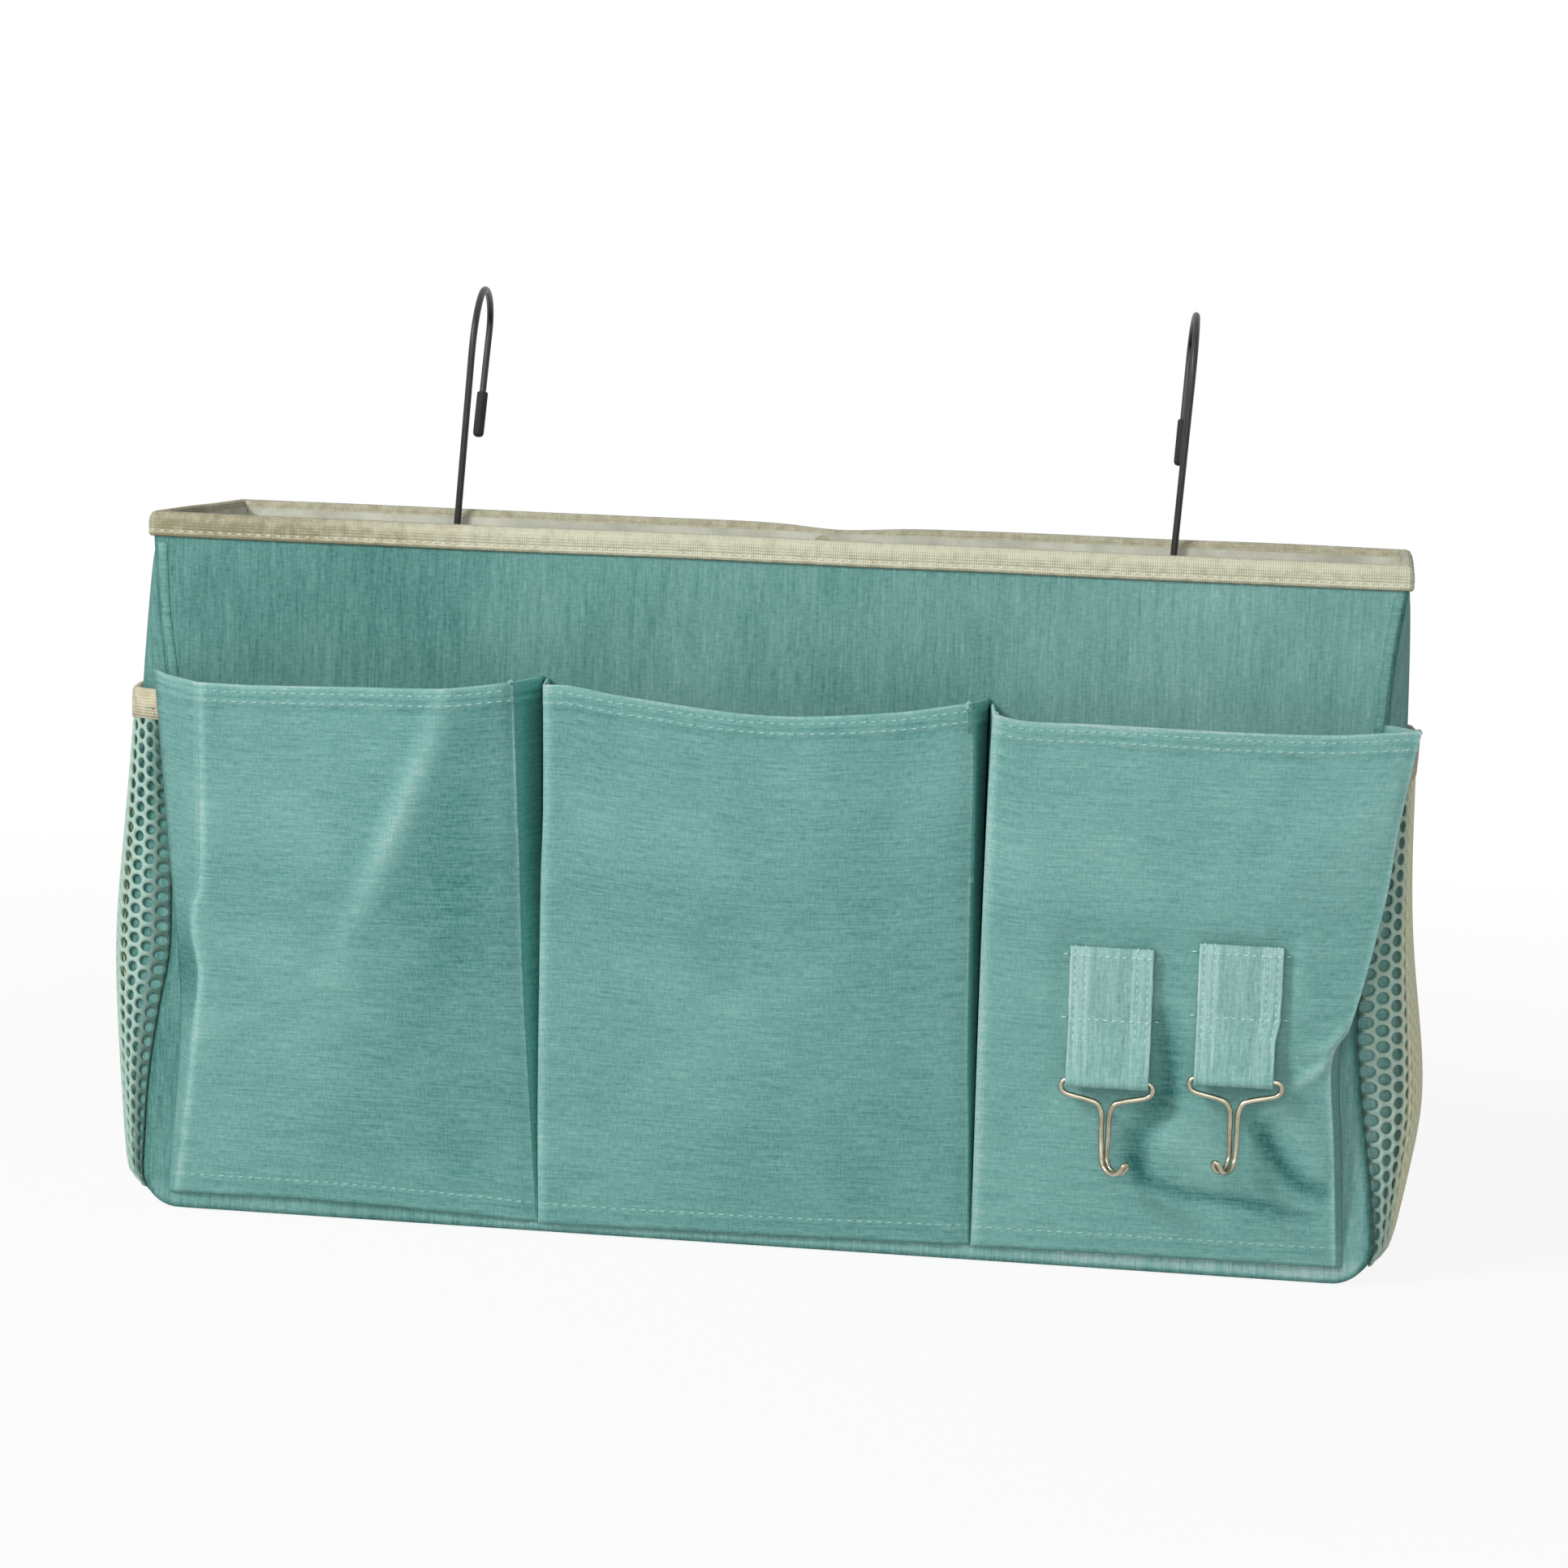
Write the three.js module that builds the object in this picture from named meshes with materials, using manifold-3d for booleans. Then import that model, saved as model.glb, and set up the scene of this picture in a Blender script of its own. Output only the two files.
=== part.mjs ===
// Hanging storage bag: three front pockets, two net side pockets and two wire hangers.
// Millimetres. X runs to the viewer's right, Y to the back and Z up.
// The origin is the centre of the underside of the base.

import * as THREE from 'three';
import { mergeVertices } from 'three/addons/utils/BufferGeometryUtils.js';
import Module from 'manifold-3d';

const wasm = await Module();
wasm.setup();

// Bag body, measured over the rim tape
const bagWidth = 380;
const bagDepth = 102;
const bagHeight = 214;

// Cloth, boards and clearances
const clothThickness = 0.8;
const boardThickness = 1.6;
const liningThickness = 0.8;
const seatGap = 0.3;

// Round lower corners of the body, and how far each soft side wall bows out
const baseCornerRadius = 12;
const leftSideBulge = 10;
const rightSideBulge = 2;
const sideBulgeSpread = 0.45;

// Tape folded over the rim
const tapeThickness = 0.9;
const tapeHeight = 8.5;
const tapeCornerRadius = 1.2;
const tapeSlotCornerRadius = 0.3;

// Front pockets, wedge-shaped: flat at the bottom and standing out at the mouth
const pocketClothThickness = 0.9;
const pocketTopBelowRim = 46;
const pocketBottomHeight = 6;
const pocketMouthDepth = 25.5;
const leftPocketSag = 2;
const middlePocketSag = 5;
const rightPocketSag = 3;
const pocketBendBelowTop = 104;
const leftValleyX = -66.4;
const rightValleyX = 67.6;
const valleySeamGap = 0.8;
const leftValleyMouthWidth = 10.2;
const rightValleyMouthWidth = 6.3;
const leftValleyBaseShift = 4.9;
const rightValleyBaseShift = 2.4;
const valleyBaseWidth = 1.4;
const pocketBaseRise = 0.5;
const leftGussetInset = 2.6;
const leftMouthInset = 22.8;
const leftBendInset = 18.4;
const leftBendGussetInset = 13;
const leftBaseInset = 14.1;
const leftBaseGussetInset = 12.2;
const rightGussetInset = 4.4;
const rightMouthOverhang = 5.4;
const rightBendInset = 13.8;
const rightBaseInset = 10.8;
const gussetFlare = 1.1;

// Straps on the right pocket, each folded round the bar of a key hook
const strapWidth = 24.4;
const strapLength = 41;
const strapThickness = 1;
const strapSewnLength = 22;
const strapSwellLength = 6;
const leftStrapX = 108.2;
const rightStrapX = 145.8;
const leftStrapBelowMouth = 70;
const rightStrapBelowMouth = 67.2;

// Key hooks bent from wire
const keyWireRadius = 0.8;
const keyBarClearance = 0.35;
const keyBarHalfLength = 13.5;
const keyBarSplit = 1;
const keyShoulderDrop = 5.4;
const keyLoopDrop = 3.5;
const keyCornerRun = 1.3;
const keyCornerInset = 0.2;
const keyCornerDrop = 0.9;
const keyWidestShare = 0.55;
const keyLoopTurnIn = 1;
const keyShoulderRun = 3.6;
const keyShoulderSlope = 0.8;
const keyNeckRun = 3.4;
const keyNeckDrop = 3.4;
const keyNeckRound = 0.9;
const keyNeckRoundDrop = 1.3;
const keyStemHalfGap = 1.9;
const keyTipHalfGap = 1.05;
const keyStemLength = 22.1;
const keyCrookReach = 9;
const keyCrookRise = 1;
const leftKeyCrookTurn = 50;
const rightKeyCrookTurn = -30;

// Wire hangers hooked up through eyelets in the back wall
const hangerWireRadius = 1.1;
const hangerRiseAboveRim = 71.5;
const hangerGap = 40;
const hangerNearArchRise = 21;
const hangerFarArchRise = 12;
const hangerTipAboveRim = 22;
const hangerCurlIn = 6;
const hangerCrookRadius = 5.5;
const hangerTailFlare = 25;
const hangerTailLength = 7;
const hangerLean = 3.3;
const hangerTurn = 4.7;

// Rubber sleeves on the hanger tips
const sleeveLength = 15;
const sleeveWall = 0.45;
const sleeveClearance = 0.25;
const sleeveEndThickness = 1.2;

// Eyelets riveted through the back wall
const leftEyeletX = -116.5;
const rightEyeletX = 114;
const eyeletBelowRim = 28;
const eyeletBoreRadius = 4;
const eyeletWall = 0.5;
const eyeletFlangeRadius = 8;
const eyeletFlangeThickness = 0.6;
const eyeletLipRadius = 5.6;
const eyeletLipThickness = 0.5;
const washerThickness = 0.6;

// Net side pockets with an elastic in a taped mouth
const netThickness = 0.8;
const netTopBelowRim = 55;
const netBottomHeight = 14;
const leftNetBulge = 9.5;
const rightNetBulge = 8;
const leftNetBulgeTurn = 0.8;
const rightNetBulgeTurn = 0.9;
const netBulgeSpread = 0.35;
const netEdgeInset = 0.2;
const netSeatedShare = 0.9;
const netTapeThickness = 0.6;
const netTapeHeight = 9;
const elasticThickness = 0.8;
const elasticWidth = 4.4;

// Fineness of the faceted surfaces
const sideColumns = 8;
const sideRows = 8;
const cornerRows = 6;
const pocketColumns = 6;
const pocketLowerRows = 3;
const pocketUpperRows = 5;
const netRows = 8;
const roundSegments = 20;
const rimCornerSegments = 3;
const wireSides = 8;
const keyWireSides = 6;
const hangerSteps = 72;
const keySteps = 96;
const keyCrookBends = 4;
const crookBends = 6;
const archBends = 8;
const strandShares = [0.1, 0.4, 0.7, 0.93];
const legShares = [0.35, 0.6, 0.8, 1];
const weldDistance = 1e-4;

// Sizes that follow from the ones above
const halfWidth = bagWidth / 2 - tapeThickness - seatGap;
const halfDepth = bagDepth / 2 - tapeThickness - seatGap;
const wallTop = bagHeight - tapeThickness - seatGap;
const wallThickness = clothThickness + boardThickness + liningThickness;
const innerHalfDepth = halfDepth - wallThickness;
const gussetHalfDepth = halfDepth - clothThickness - seatGap;
const liningHalfDepth = innerHalfDepth - seatGap;
const layerInset = clothThickness + seatGap;
const cornerCentreX = halfWidth - baseCornerRadius;
const cornerLength = baseCornerRadius * Math.PI / 2;
const sideLength = cornerLength + wallTop - baseCornerRadius;
const bulgeLength = sideLength - tapeHeight;
const pocketTop = bagHeight - pocketTopBelowRim;
const pocketBend = pocketTop - pocketBendBelowTop;
const netTop = bagHeight - netTopBelowRim;
const eyeletZ = bagHeight - eyeletBelowRim;
const tapeInnerY = liningHalfDepth - tapeThickness;

// Finishes
const tealCloth = new THREE.MeshStandardMaterial({ color: 0x69a59c, roughness: 0.95, metalness: 0 });
const greyBoard = new THREE.MeshStandardMaterial({ color: 0x8d8a80, roughness: 0.9, metalness: 0 });
const lining = new THREE.MeshStandardMaterial({ color: 0xaaac9e, roughness: 0.95, metalness: 0 });
const beigeTape = new THREE.MeshStandardMaterial({ color: 0xc3c0a5, roughness: 0.9, metalness: 0 });
const paleNet = new THREE.MeshStandardMaterial({ color: 0xb9cdbb, roughness: 0.9, metalness: 0 });
const whiteElastic = new THREE.MeshStandardMaterial({ color: 0xe4e1d2, roughness: 0.8, metalness: 0 });
const silverWire = new THREE.MeshStandardMaterial({ color: 0xbdb8a5, roughness: 0.3, metalness: 1 });
const blackWire = new THREE.MeshStandardMaterial({ color: 0x161616, roughness: 0.45, metalness: 0.6 });
const blackRubber = new THREE.MeshStandardMaterial({ color: 0x101010, roughness: 0.8, metalness: 0 });
const nickel = new THREE.MeshStandardMaterial({ color: 0xb4b2ac, roughness: 0.35, metalness: 1 });

const bag = new THREE.Group();

// Adds one named piece to a group.
function addPiece(parent, name, geometry, material) {
  const piece = new THREE.Mesh(geometry, material);
  piece.name = name;
  parent.add(piece);
  return piece;
}

// Signed volume of an indexed geometry, negative where its faces point inwards.
function signedVolume(geometry) {
  const position = geometry.getAttribute('position');
  const index = geometry.getIndex();
  const a = new THREE.Vector3();
  const b = new THREE.Vector3();
  const c = new THREE.Vector3();
  let volume = 0;
  for (let i = 0; i < index.count; i += 3) {
    a.fromBufferAttribute(position, index.getX(i));
    b.fromBufferAttribute(position, index.getX(i + 1));
    c.fromBufferAttribute(position, index.getX(i + 2));
    volume += a.dot(b.cross(c)) / 6;
  }
  return volume;
}

// Closed solid through a row of closed loops with equal point counts.
// Each four-sided cell is cut along its shorter diagonal, so neighbouring layers match.
function loft(loops) {
  const count = loops[0].length;
  const positions = loops.flat().flatMap((point) => [point.x, point.y, point.z]);
  const faces = [];
  for (let i = 0; i < loops.length - 1; i += 1) {
    for (let j = 0; j < count; j += 1) {
      const here = i * count + j;
      const next = i * count + (j + 1) % count;
      const rising = loops[i][j].distanceTo(loops[i + 1][(j + 1) % count]);
      const falling = loops[i][(j + 1) % count].distanceTo(loops[i + 1][j]);
      if (rising < falling) {
        faces.push(here, next, next + count);
        faces.push(here, next + count, here + count);
      } else {
        faces.push(here, next, here + count);
        faces.push(next, next + count, here + count);
      }
    }
  }
  const lastLoop = (loops.length - 1) * count;
  for (const [a, b, c] of capFaces(loops[0])) {
    faces.push(c, b, a);
  }
  for (const [a, b, c] of capFaces(loops[loops.length - 1])) {
    faces.push(lastLoop + a, lastLoop + b, lastLoop + c);
  }
  const geometry = new THREE.BufferGeometry();
  geometry.setAttribute('position', new THREE.Float32BufferAttribute(positions, 3));
  geometry.setIndex(faces);
  if (signedVolume(geometry) < 0) {
    geometry.setIndex(faces.reverse());
  }
  return geometry;
}

// Triangles that close one loop, found on the plane that faces the loop most directly.
function capFaces(loop) {
  const normal = new THREE.Vector3();
  for (let i = 0; i < loop.length; i += 1) {
    normal.add(new THREE.Vector3().crossVectors(loop[i], loop[(i + 1) % loop.length]));
  }
  normal.normalize();
  const across = new THREE.Vector3(0, 0, 1);
  if (Math.abs(normal.z) > Math.SQRT1_2) {
    across.set(0, 1, 0);
  }
  const u = new THREE.Vector3().crossVectors(across, normal).normalize();
  const v = new THREE.Vector3().crossVectors(normal, u);
  const flat = loop.map((point) => new THREE.Vector2(point.dot(u), point.dot(v)));
  return THREE.ShapeUtils.triangulateShape(flat, []);
}

// Loop round a thin strip: along its outer points and back along its inner ones.
function stripLoop(outer, inner) {
  return [...outer, ...inner.slice().reverse()];
}

// Evenly spaced values from first to last.
function spread(first, last, steps) {
  return Array.from({ length: steps + 1 }, (_, i) => first + (last - first) * i / steps);
}

// Moves a geometry's Z axis extrusion to X, with its shape's X and Y on Y and Z.
function standAcross(geometry) {
  const turn = new THREE.Matrix4().makeBasis(
    new THREE.Vector3(0, 1, 0),
    new THREE.Vector3(0, 0, 1),
    new THREE.Vector3(1, 0, 0),
  );
  return geometry.applyMatrix4(turn);
}

// Round wire along a smooth curve.
function wire(curve, radius, sides, steps) {
  const section = new THREE.Shape();
  for (let i = 0; i < sides; i += 1) {
    const angle = 2 * Math.PI * i / sides;
    const point = [radius * Math.cos(angle), radius * Math.sin(angle)];
    if (i === 0) {
      section.moveTo(...point);
    } else {
      section.lineTo(...point);
    }
  }
  return new THREE.ExtrudeGeometry(section, { steps, extrudePath: curve, bevelEnabled: false });
}

// Merged, position-only copy of a closed mesh as a manifold solid.
function toManifold(geometry) {
  const bare = geometry.clone();
  bare.deleteAttribute('normal');
  bare.deleteAttribute('uv');
  const merged = mergeVertices(bare, weldDistance);
  return new wasm.Manifold(new wasm.Mesh({
    numProp: 3,
    vertProperties: new Float32Array(merged.getAttribute('position').array),
    triVerts: new Uint32Array(merged.getIndex().array),
  }));
}

// Buffer geometry of a manifold solid.
function fromManifold(solid) {
  const mesh = solid.getMesh();
  const geometry = new THREE.BufferGeometry();
  geometry.setAttribute('position', new THREE.Float32BufferAttribute(mesh.vertProperties, 3));
  geometry.setIndex([...mesh.triVerts]);
  return geometry;
}

// Outline of a front or back wall layer, set in from the body's edge by inset.
function wallOutline(inset) {
  const x = halfWidth - inset;
  const bottom = inset;
  const radius = baseCornerRadius - inset;
  const outline = new THREE.Shape();
  outline.moveTo(-x, wallTop);
  outline.lineTo(-x, bottom + radius);
  outline.absarc(-cornerCentreX, bottom + radius, radius, Math.PI, Math.PI * 1.5, false);
  outline.lineTo(cornerCentreX, bottom);
  outline.absarc(cornerCentreX, bottom + radius, radius, -Math.PI / 2, 0, false);
  outline.lineTo(x, wallTop);
  outline.closePath();
  return outline;
}

// One flat layer of the front or back wall between two distances from the middle of the bag.
function wallLayer(sign, inset, outerY, thickness, holes) {
  const outline = wallOutline(inset);
  for (const x of holes) {
    const hole = new THREE.Path();
    const reach = eyeletBoreRadius + eyeletWall + seatGap;
    for (let i = 0; i <= roundSegments; i += 1) {
      const angle = -2 * Math.PI * i / roundSegments;
      const point = [x + reach * Math.cos(angle), eyeletZ + reach * Math.sin(angle)];
      if (i === 0) {
        hole.moveTo(...point);
      } else {
        hole.lineTo(...point);
      }
    }
    outline.holes.push(hole);
  }
  const geometry = new THREE.ExtrudeGeometry(outline, {
    depth: thickness,
    bevelEnabled: false,
    curveSegments: cornerRows,
  });
  geometry.rotateX(Math.PI / 2);
  geometry.translate(0, sign > 0 ? outerY : -outerY + thickness, 0);
  return geometry;
}

const boardY = halfDepth - clothThickness;
const liningY = boardY - boardThickness;
const walls = [
  { name: 'front', sign: -1, holes: [] },
  { name: 'back', sign: 1, holes: [leftEyeletX, rightEyeletX] },
];
for (const { name, sign, holes } of walls) {
  addPiece(bag, `${name}_panel`, wallLayer(sign, 0, halfDepth, clothThickness, holes), tealCloth);
  addPiece(bag, `${name}_board`, wallLayer(sign, layerInset, boardY, boardThickness, holes), greyBoard);
  addPiece(bag, `${name}_lining`, wallLayer(sign, layerInset, liningY, liningThickness, holes), lining);
}

// How far a side wall bows out at a length up the wall and a place across it, as a share.
function sideBow(length, y) {
  const up = Math.min(Math.max(length / bulgeLength, 0), 1);
  const upShare = Math.sin(Math.PI * up) ** sideBulgeSpread;
  return upShare * Math.cos(Math.PI * y / (2 * gussetHalfDepth));
}

// Point of a side wall at a length up from its lower seam, set in by inset.
function sidePoint(sign, bulge, length, y, inset) {
  let x = halfWidth - inset;
  let z = baseCornerRadius + length - cornerLength;
  if (length < cornerLength) {
    const angle = length / baseCornerRadius;
    x = cornerCentreX + (baseCornerRadius - inset) * Math.sin(angle);
    z = baseCornerRadius - (baseCornerRadius - inset) * Math.cos(angle);
  }
  return new THREE.Vector3(sign * (x + bulge * sideBow(length, y)), y, z);
}

// Places across a side wall that all its layers share, with a layer's own edges at the ends.
function sidePlaces(edgeY) {
  const shared = spread(-liningHalfDepth, liningHalfDepth, sideColumns);
  return edgeY > liningHalfDepth ? [-edgeY, ...shared, edgeY] : shared;
}

// A side wall layer: it runs down from the rim and round the lower corner to the base.
function sideLayer(sign, bulge, inset, thickness, edgeY) {
  const lengths = [
    ...spread(0, cornerLength, cornerRows),
    ...spread(cornerLength, bulgeLength, sideRows).slice(1),
    sideLength,
  ];
  const places = sidePlaces(edgeY);
  return loft(lengths.map((length) => stripLoop(
    places.map((y) => sidePoint(sign, bulge, length, y, inset)),
    places.map((y) => sidePoint(sign, bulge, length, y, inset + thickness)),
  )));
}

// How far up the net pocket a height lies, as a share.
function netShare(z) {
  return Math.min(Math.max((z - netBottomHeight) / (netTop - netBottomHeight), 0), 1);
}

// Height of the net's pouch above its wall, as a share.
function netBow(side, z, y) {
  const upShare = Math.sin(Math.PI * side.netTurn * netShare(z)) ** netBulgeSpread;
  return upShare * Math.cos(Math.PI * y / (2 * gussetHalfDepth));
}

// Point of a net pocket, stand-off millimetres outside the inner face of the net.
function netPoint(side, z, y, standOff) {
  const length = z - baseCornerRadius + cornerLength;
  const wall = halfWidth + side.bulge * sideBow(length, y);
  const seat = seatGap + (seatGap + netTapeThickness) * Math.min(1, netShare(z) / netSeatedShare);
  return new THREE.Vector3(side.sign * (wall + seat + side.netBulge * netBow(side, z, y) + standOff), y, z);
}

// Strip that follows the net's mouth: its section is a list of stand-offs and drops from the top.
function mouthStrip(side, top, section) {
  return loft(sidePlaces(gussetHalfDepth - netEdgeInset).map((y) => section.map(([standOff, drop]) => {
    return netPoint(side, top - drop, y, standOff);
  })));
}

const sides = [
  {
    name: 'left',
    sign: -1,
    bulge: leftSideBulge,
    netBulge: leftNetBulge,
    netTurn: leftNetBulgeTurn,
  },
  {
    name: 'right',
    sign: 1,
    bulge: rightSideBulge,
    netBulge: rightNetBulge,
    netTurn: rightNetBulgeTurn,
  },
];
for (const side of sides) {
  const { name, sign, bulge } = side;
  const panel = sideLayer(sign, bulge, 0, clothThickness, gussetHalfDepth);
  const inside = sideLayer(sign, bulge, layerInset, liningThickness, liningHalfDepth);
  addPiece(bag, `${name}_side_panel`, panel, tealCloth);
  addPiece(bag, `${name}_side_lining`, inside, lining);

  // The net's top edge ends inside the mouth tape, with the elastic above it.
  const slotTop = netTop - netTapeThickness - seatGap;
  const netEdgeTop = slotTop - elasticWidth - seatGap;
  const places = sidePlaces(gussetHalfDepth - netEdgeInset);
  const net = loft(spread(netBottomHeight, netEdgeTop, netRows).map((z) => stripLoop(
    places.map((y) => netPoint(side, z, y, netThickness)),
    places.map((y) => netPoint(side, z, y, 0)),
  )));
  addPiece(bag, `${name}_net_pocket`, net, paleNet);

  const slotInner = -seatGap;
  const slotOuter = netThickness + seatGap;
  addPiece(bag, `${name}_net_tape`, mouthStrip(side, netTop, [
    [slotInner - netTapeThickness, netTapeHeight],
    [slotInner - netTapeThickness, 0],
    [slotOuter + netTapeThickness, 0],
    [slotOuter + netTapeThickness, netTapeHeight],
    [slotOuter, netTapeHeight],
    [slotOuter, netTapeThickness],
    [slotInner, netTapeThickness],
    [slotInner, netTapeHeight],
  ]), beigeTape);
  addPiece(bag, `${name}_net_elastic`, mouthStrip(side, slotTop, [
    [0, 0],
    [elasticThickness, 0],
    [elasticThickness, elasticWidth],
    [0, elasticWidth],
  ]), whiteElastic);
}

// Flat sheet between two corners of the base.
function baseLayer(halfLength, halfBreadth, bottom, thickness) {
  const geometry = new THREE.BoxGeometry(2 * halfLength, 2 * halfBreadth, thickness);
  return geometry.translate(0, 0, bottom + thickness / 2);
}

const baseHalfLength = cornerCentreX - seatGap;
const boardBottom = clothThickness;
const baseLiningBottom = boardBottom + boardThickness;
addPiece(bag, 'base_panel', baseLayer(baseHalfLength, gussetHalfDepth, 0, clothThickness), tealCloth);
addPiece(bag, 'base_board',
  baseLayer(baseHalfLength, liningHalfDepth, boardBottom, boardThickness), greyBoard);
addPiece(bag, 'base_lining',
  baseLayer(baseHalfLength, liningHalfDepth, baseLiningBottom, liningThickness), lining);

// Upright block on a rectangle with round corners.
function rimBlock(x, y, radius, bottom, top) {
  const outline = new THREE.Shape();
  outline.absarc(x - radius, -y + radius, radius, -Math.PI / 2, 0, false);
  outline.absarc(x - radius, y - radius, radius, 0, Math.PI / 2, false);
  outline.absarc(-x + radius, y - radius, radius, Math.PI / 2, Math.PI, false);
  outline.absarc(-x + radius, -y + radius, radius, Math.PI, Math.PI * 1.5, false);
  outline.closePath();
  const geometry = new THREE.ExtrudeGeometry(outline, {
    depth: top - bottom,
    bevelEnabled: false,
    curveSegments: rimCornerSegments,
  });
  geometry.translate(0, 0, bottom);
  return toManifold(geometry);
}

// The rim tape is folded over the wall tops, so it is a ring with a slot cut up into it.
function rimTape() {
  const bottom = bagHeight - tapeHeight;
  const slotTop = wallTop + seatGap;
  const overlap = tapeThickness;
  const slotX = halfWidth + seatGap;
  const slotY = halfDepth + seatGap;
  const coreX = halfWidth - layerInset - liningThickness - seatGap;
  const coreY = innerHalfDepth - seatGap;
  const outside = rimBlock(bagWidth / 2, bagDepth / 2, tapeCornerRadius, bottom, bagHeight);
  const mouth = rimBlock(coreX - tapeThickness, coreY - tapeThickness, tapeCornerRadius,
    bottom - overlap, bagHeight + overlap);
  const slot = rimBlock(slotX, slotY, tapeSlotCornerRadius, bottom - overlap, slotTop);
  const core = rimBlock(coreX, coreY, tapeSlotCornerRadius, bottom - 2 * overlap,
    slotTop + overlap);
  return fromManifold(outside.subtract(mouth).subtract(slot.subtract(core)));
}

addPiece(bag, 'rim_tape', rimTape(), beigeTape);

// Value at a height on a line through the mouth, the bend and the base of a pocket.
function edgeAt(z, edge) {
  const [mouth, bend, base] = edge;
  if (z > pocketBend) {
    return bend + (mouth - bend) * (z - pocketBend) / (pocketTop - pocketBend);
  }
  return base + (bend - base) * (z - pocketBottomHeight) / (pocketBend - pocketBottomHeight);
}

// Front surface of the pockets: it leans out from the base to the mouth.
function pocketFaceY(z) {
  const lean = (z - pocketBottomHeight) / (pocketTop - pocketBottomHeight);
  return -(halfDepth + seatGap + pocketClothThickness + pocketBaseRise + pocketMouthDepth * lean);
}

// Path set in from a plan path by the cloth's thickness, with its ends kept at their depth.
function insidePath(path, thickness) {
  const normals = path.slice(1).map((point, i) => {
    const along = new THREE.Vector2().subVectors(point, path[i]).normalize();
    return new THREE.Vector2(-along.y, along.x);
  });
  return path.map((point, i) => {
    if (i === 0 || i === path.length - 1) {
      const normal = normals[i === 0 ? 0 : normals.length - 1];
      return new THREE.Vector2(point.x + thickness / normal.x, point.y);
    }
    const middle = new THREE.Vector2().addVectors(normals[i - 1], normals[i]);
    return point.clone().addScaledVector(middle, thickness / (0.5 * middle.lengthSq()));
  });
}

// A front pocket: one strip of cloth round its left gusset, its face and its right gusset.
function frontPocket(edges, sag) {
  const rows = [
    ...spread(pocketBottomHeight, pocketBend, pocketLowerRows),
    ...spread(pocketBend, pocketTop, pocketUpperRows).slice(1),
  ];
  const seatY = -(halfDepth + seatGap);
  return loft(rows.map((rowZ) => {
    const left = edgeAt(rowZ, edges.faceLeft);
    const right = edgeAt(rowZ, edges.faceRight);
    const share = (rowZ - pocketBottomHeight) / (pocketTop - pocketBottomHeight);
    const heights = [rowZ];
    const path = [new THREE.Vector2(edgeAt(rowZ, edges.seamLeft), seatY)];
    for (const across of spread(-1, 1, pocketColumns)) {
      const z = rowZ - sag * share * (1 - across * across);
      heights.push(z);
      path.push(new THREE.Vector2(left + (right - left) * (across + 1) / 2, pocketFaceY(z)));
    }
    heights.push(rowZ);
    path.push(new THREE.Vector2(edgeAt(rowZ, edges.seamRight), seatY));
    const lift = (point, i) => new THREE.Vector3(point.x, point.y, heights[i]);
    return stripLoop(path.map(lift), insidePath(path, pocketClothThickness).map(lift));
  }));
}

// Edges of the valley between two pockets, on its left and its right side.
function valleyEdges(x, mouthWidth, baseShift) {
  const bendShift = baseShift * pocketBendBelowTop / (pocketTop - pocketBottomHeight);
  const bendWidth = valleyBaseWidth + (mouthWidth - valleyBaseWidth) * (pocketBend - pocketBottomHeight)
    / (pocketTop - pocketBottomHeight);
  const seam = [x, x + bendShift, x + baseShift];
  const widths = [mouthWidth, bendWidth, valleyBaseWidth];
  return {
    faceBefore: seam.map((place, i) => place - widths[i] / 2),
    seamBefore: seam.map((place) => place - valleySeamGap / 2),
    seamAfter: seam.map((place) => place + valleySeamGap / 2),
    faceAfter: seam.map((place, i) => place + widths[i] / 2),
  };
}

const leftValley = valleyEdges(leftValleyX, leftValleyMouthWidth, leftValleyBaseShift);
const rightValley = valleyEdges(rightValleyX, rightValleyMouthWidth, rightValleyBaseShift);
const pockets = [
  {
    name: 'left_front_pocket',
    sag: leftPocketSag,
    seamLeft: [leftGussetInset, leftBendGussetInset, leftBaseGussetInset].map((inset) => inset - halfWidth),
    faceLeft: [leftMouthInset, leftBendInset, leftBaseInset].map((inset) => inset - halfWidth),
    faceRight: leftValley.faceBefore,
    seamRight: leftValley.seamBefore,
  },
  {
    name: 'middle_front_pocket',
    sag: middlePocketSag,
    seamLeft: leftValley.seamAfter,
    faceLeft: leftValley.faceAfter,
    faceRight: rightValley.faceBefore,
    seamRight: rightValley.seamBefore,
  },
  {
    name: 'right_front_pocket',
    sag: rightPocketSag,
    seamLeft: rightValley.seamAfter,
    faceLeft: rightValley.faceAfter,
    faceRight: [-rightMouthOverhang, rightBendInset, rightBaseInset].map((inset) => halfWidth - inset),
    seamRight: [rightGussetInset, rightBendInset - gussetFlare, rightBaseInset - gussetFlare]
      .map((inset) => halfWidth - inset),
  },
];
for (const pocket of pockets) {
  addPiece(bag, pocket.name, frontPocket(pocket, pocket.sag), tealCloth);
}

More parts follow.
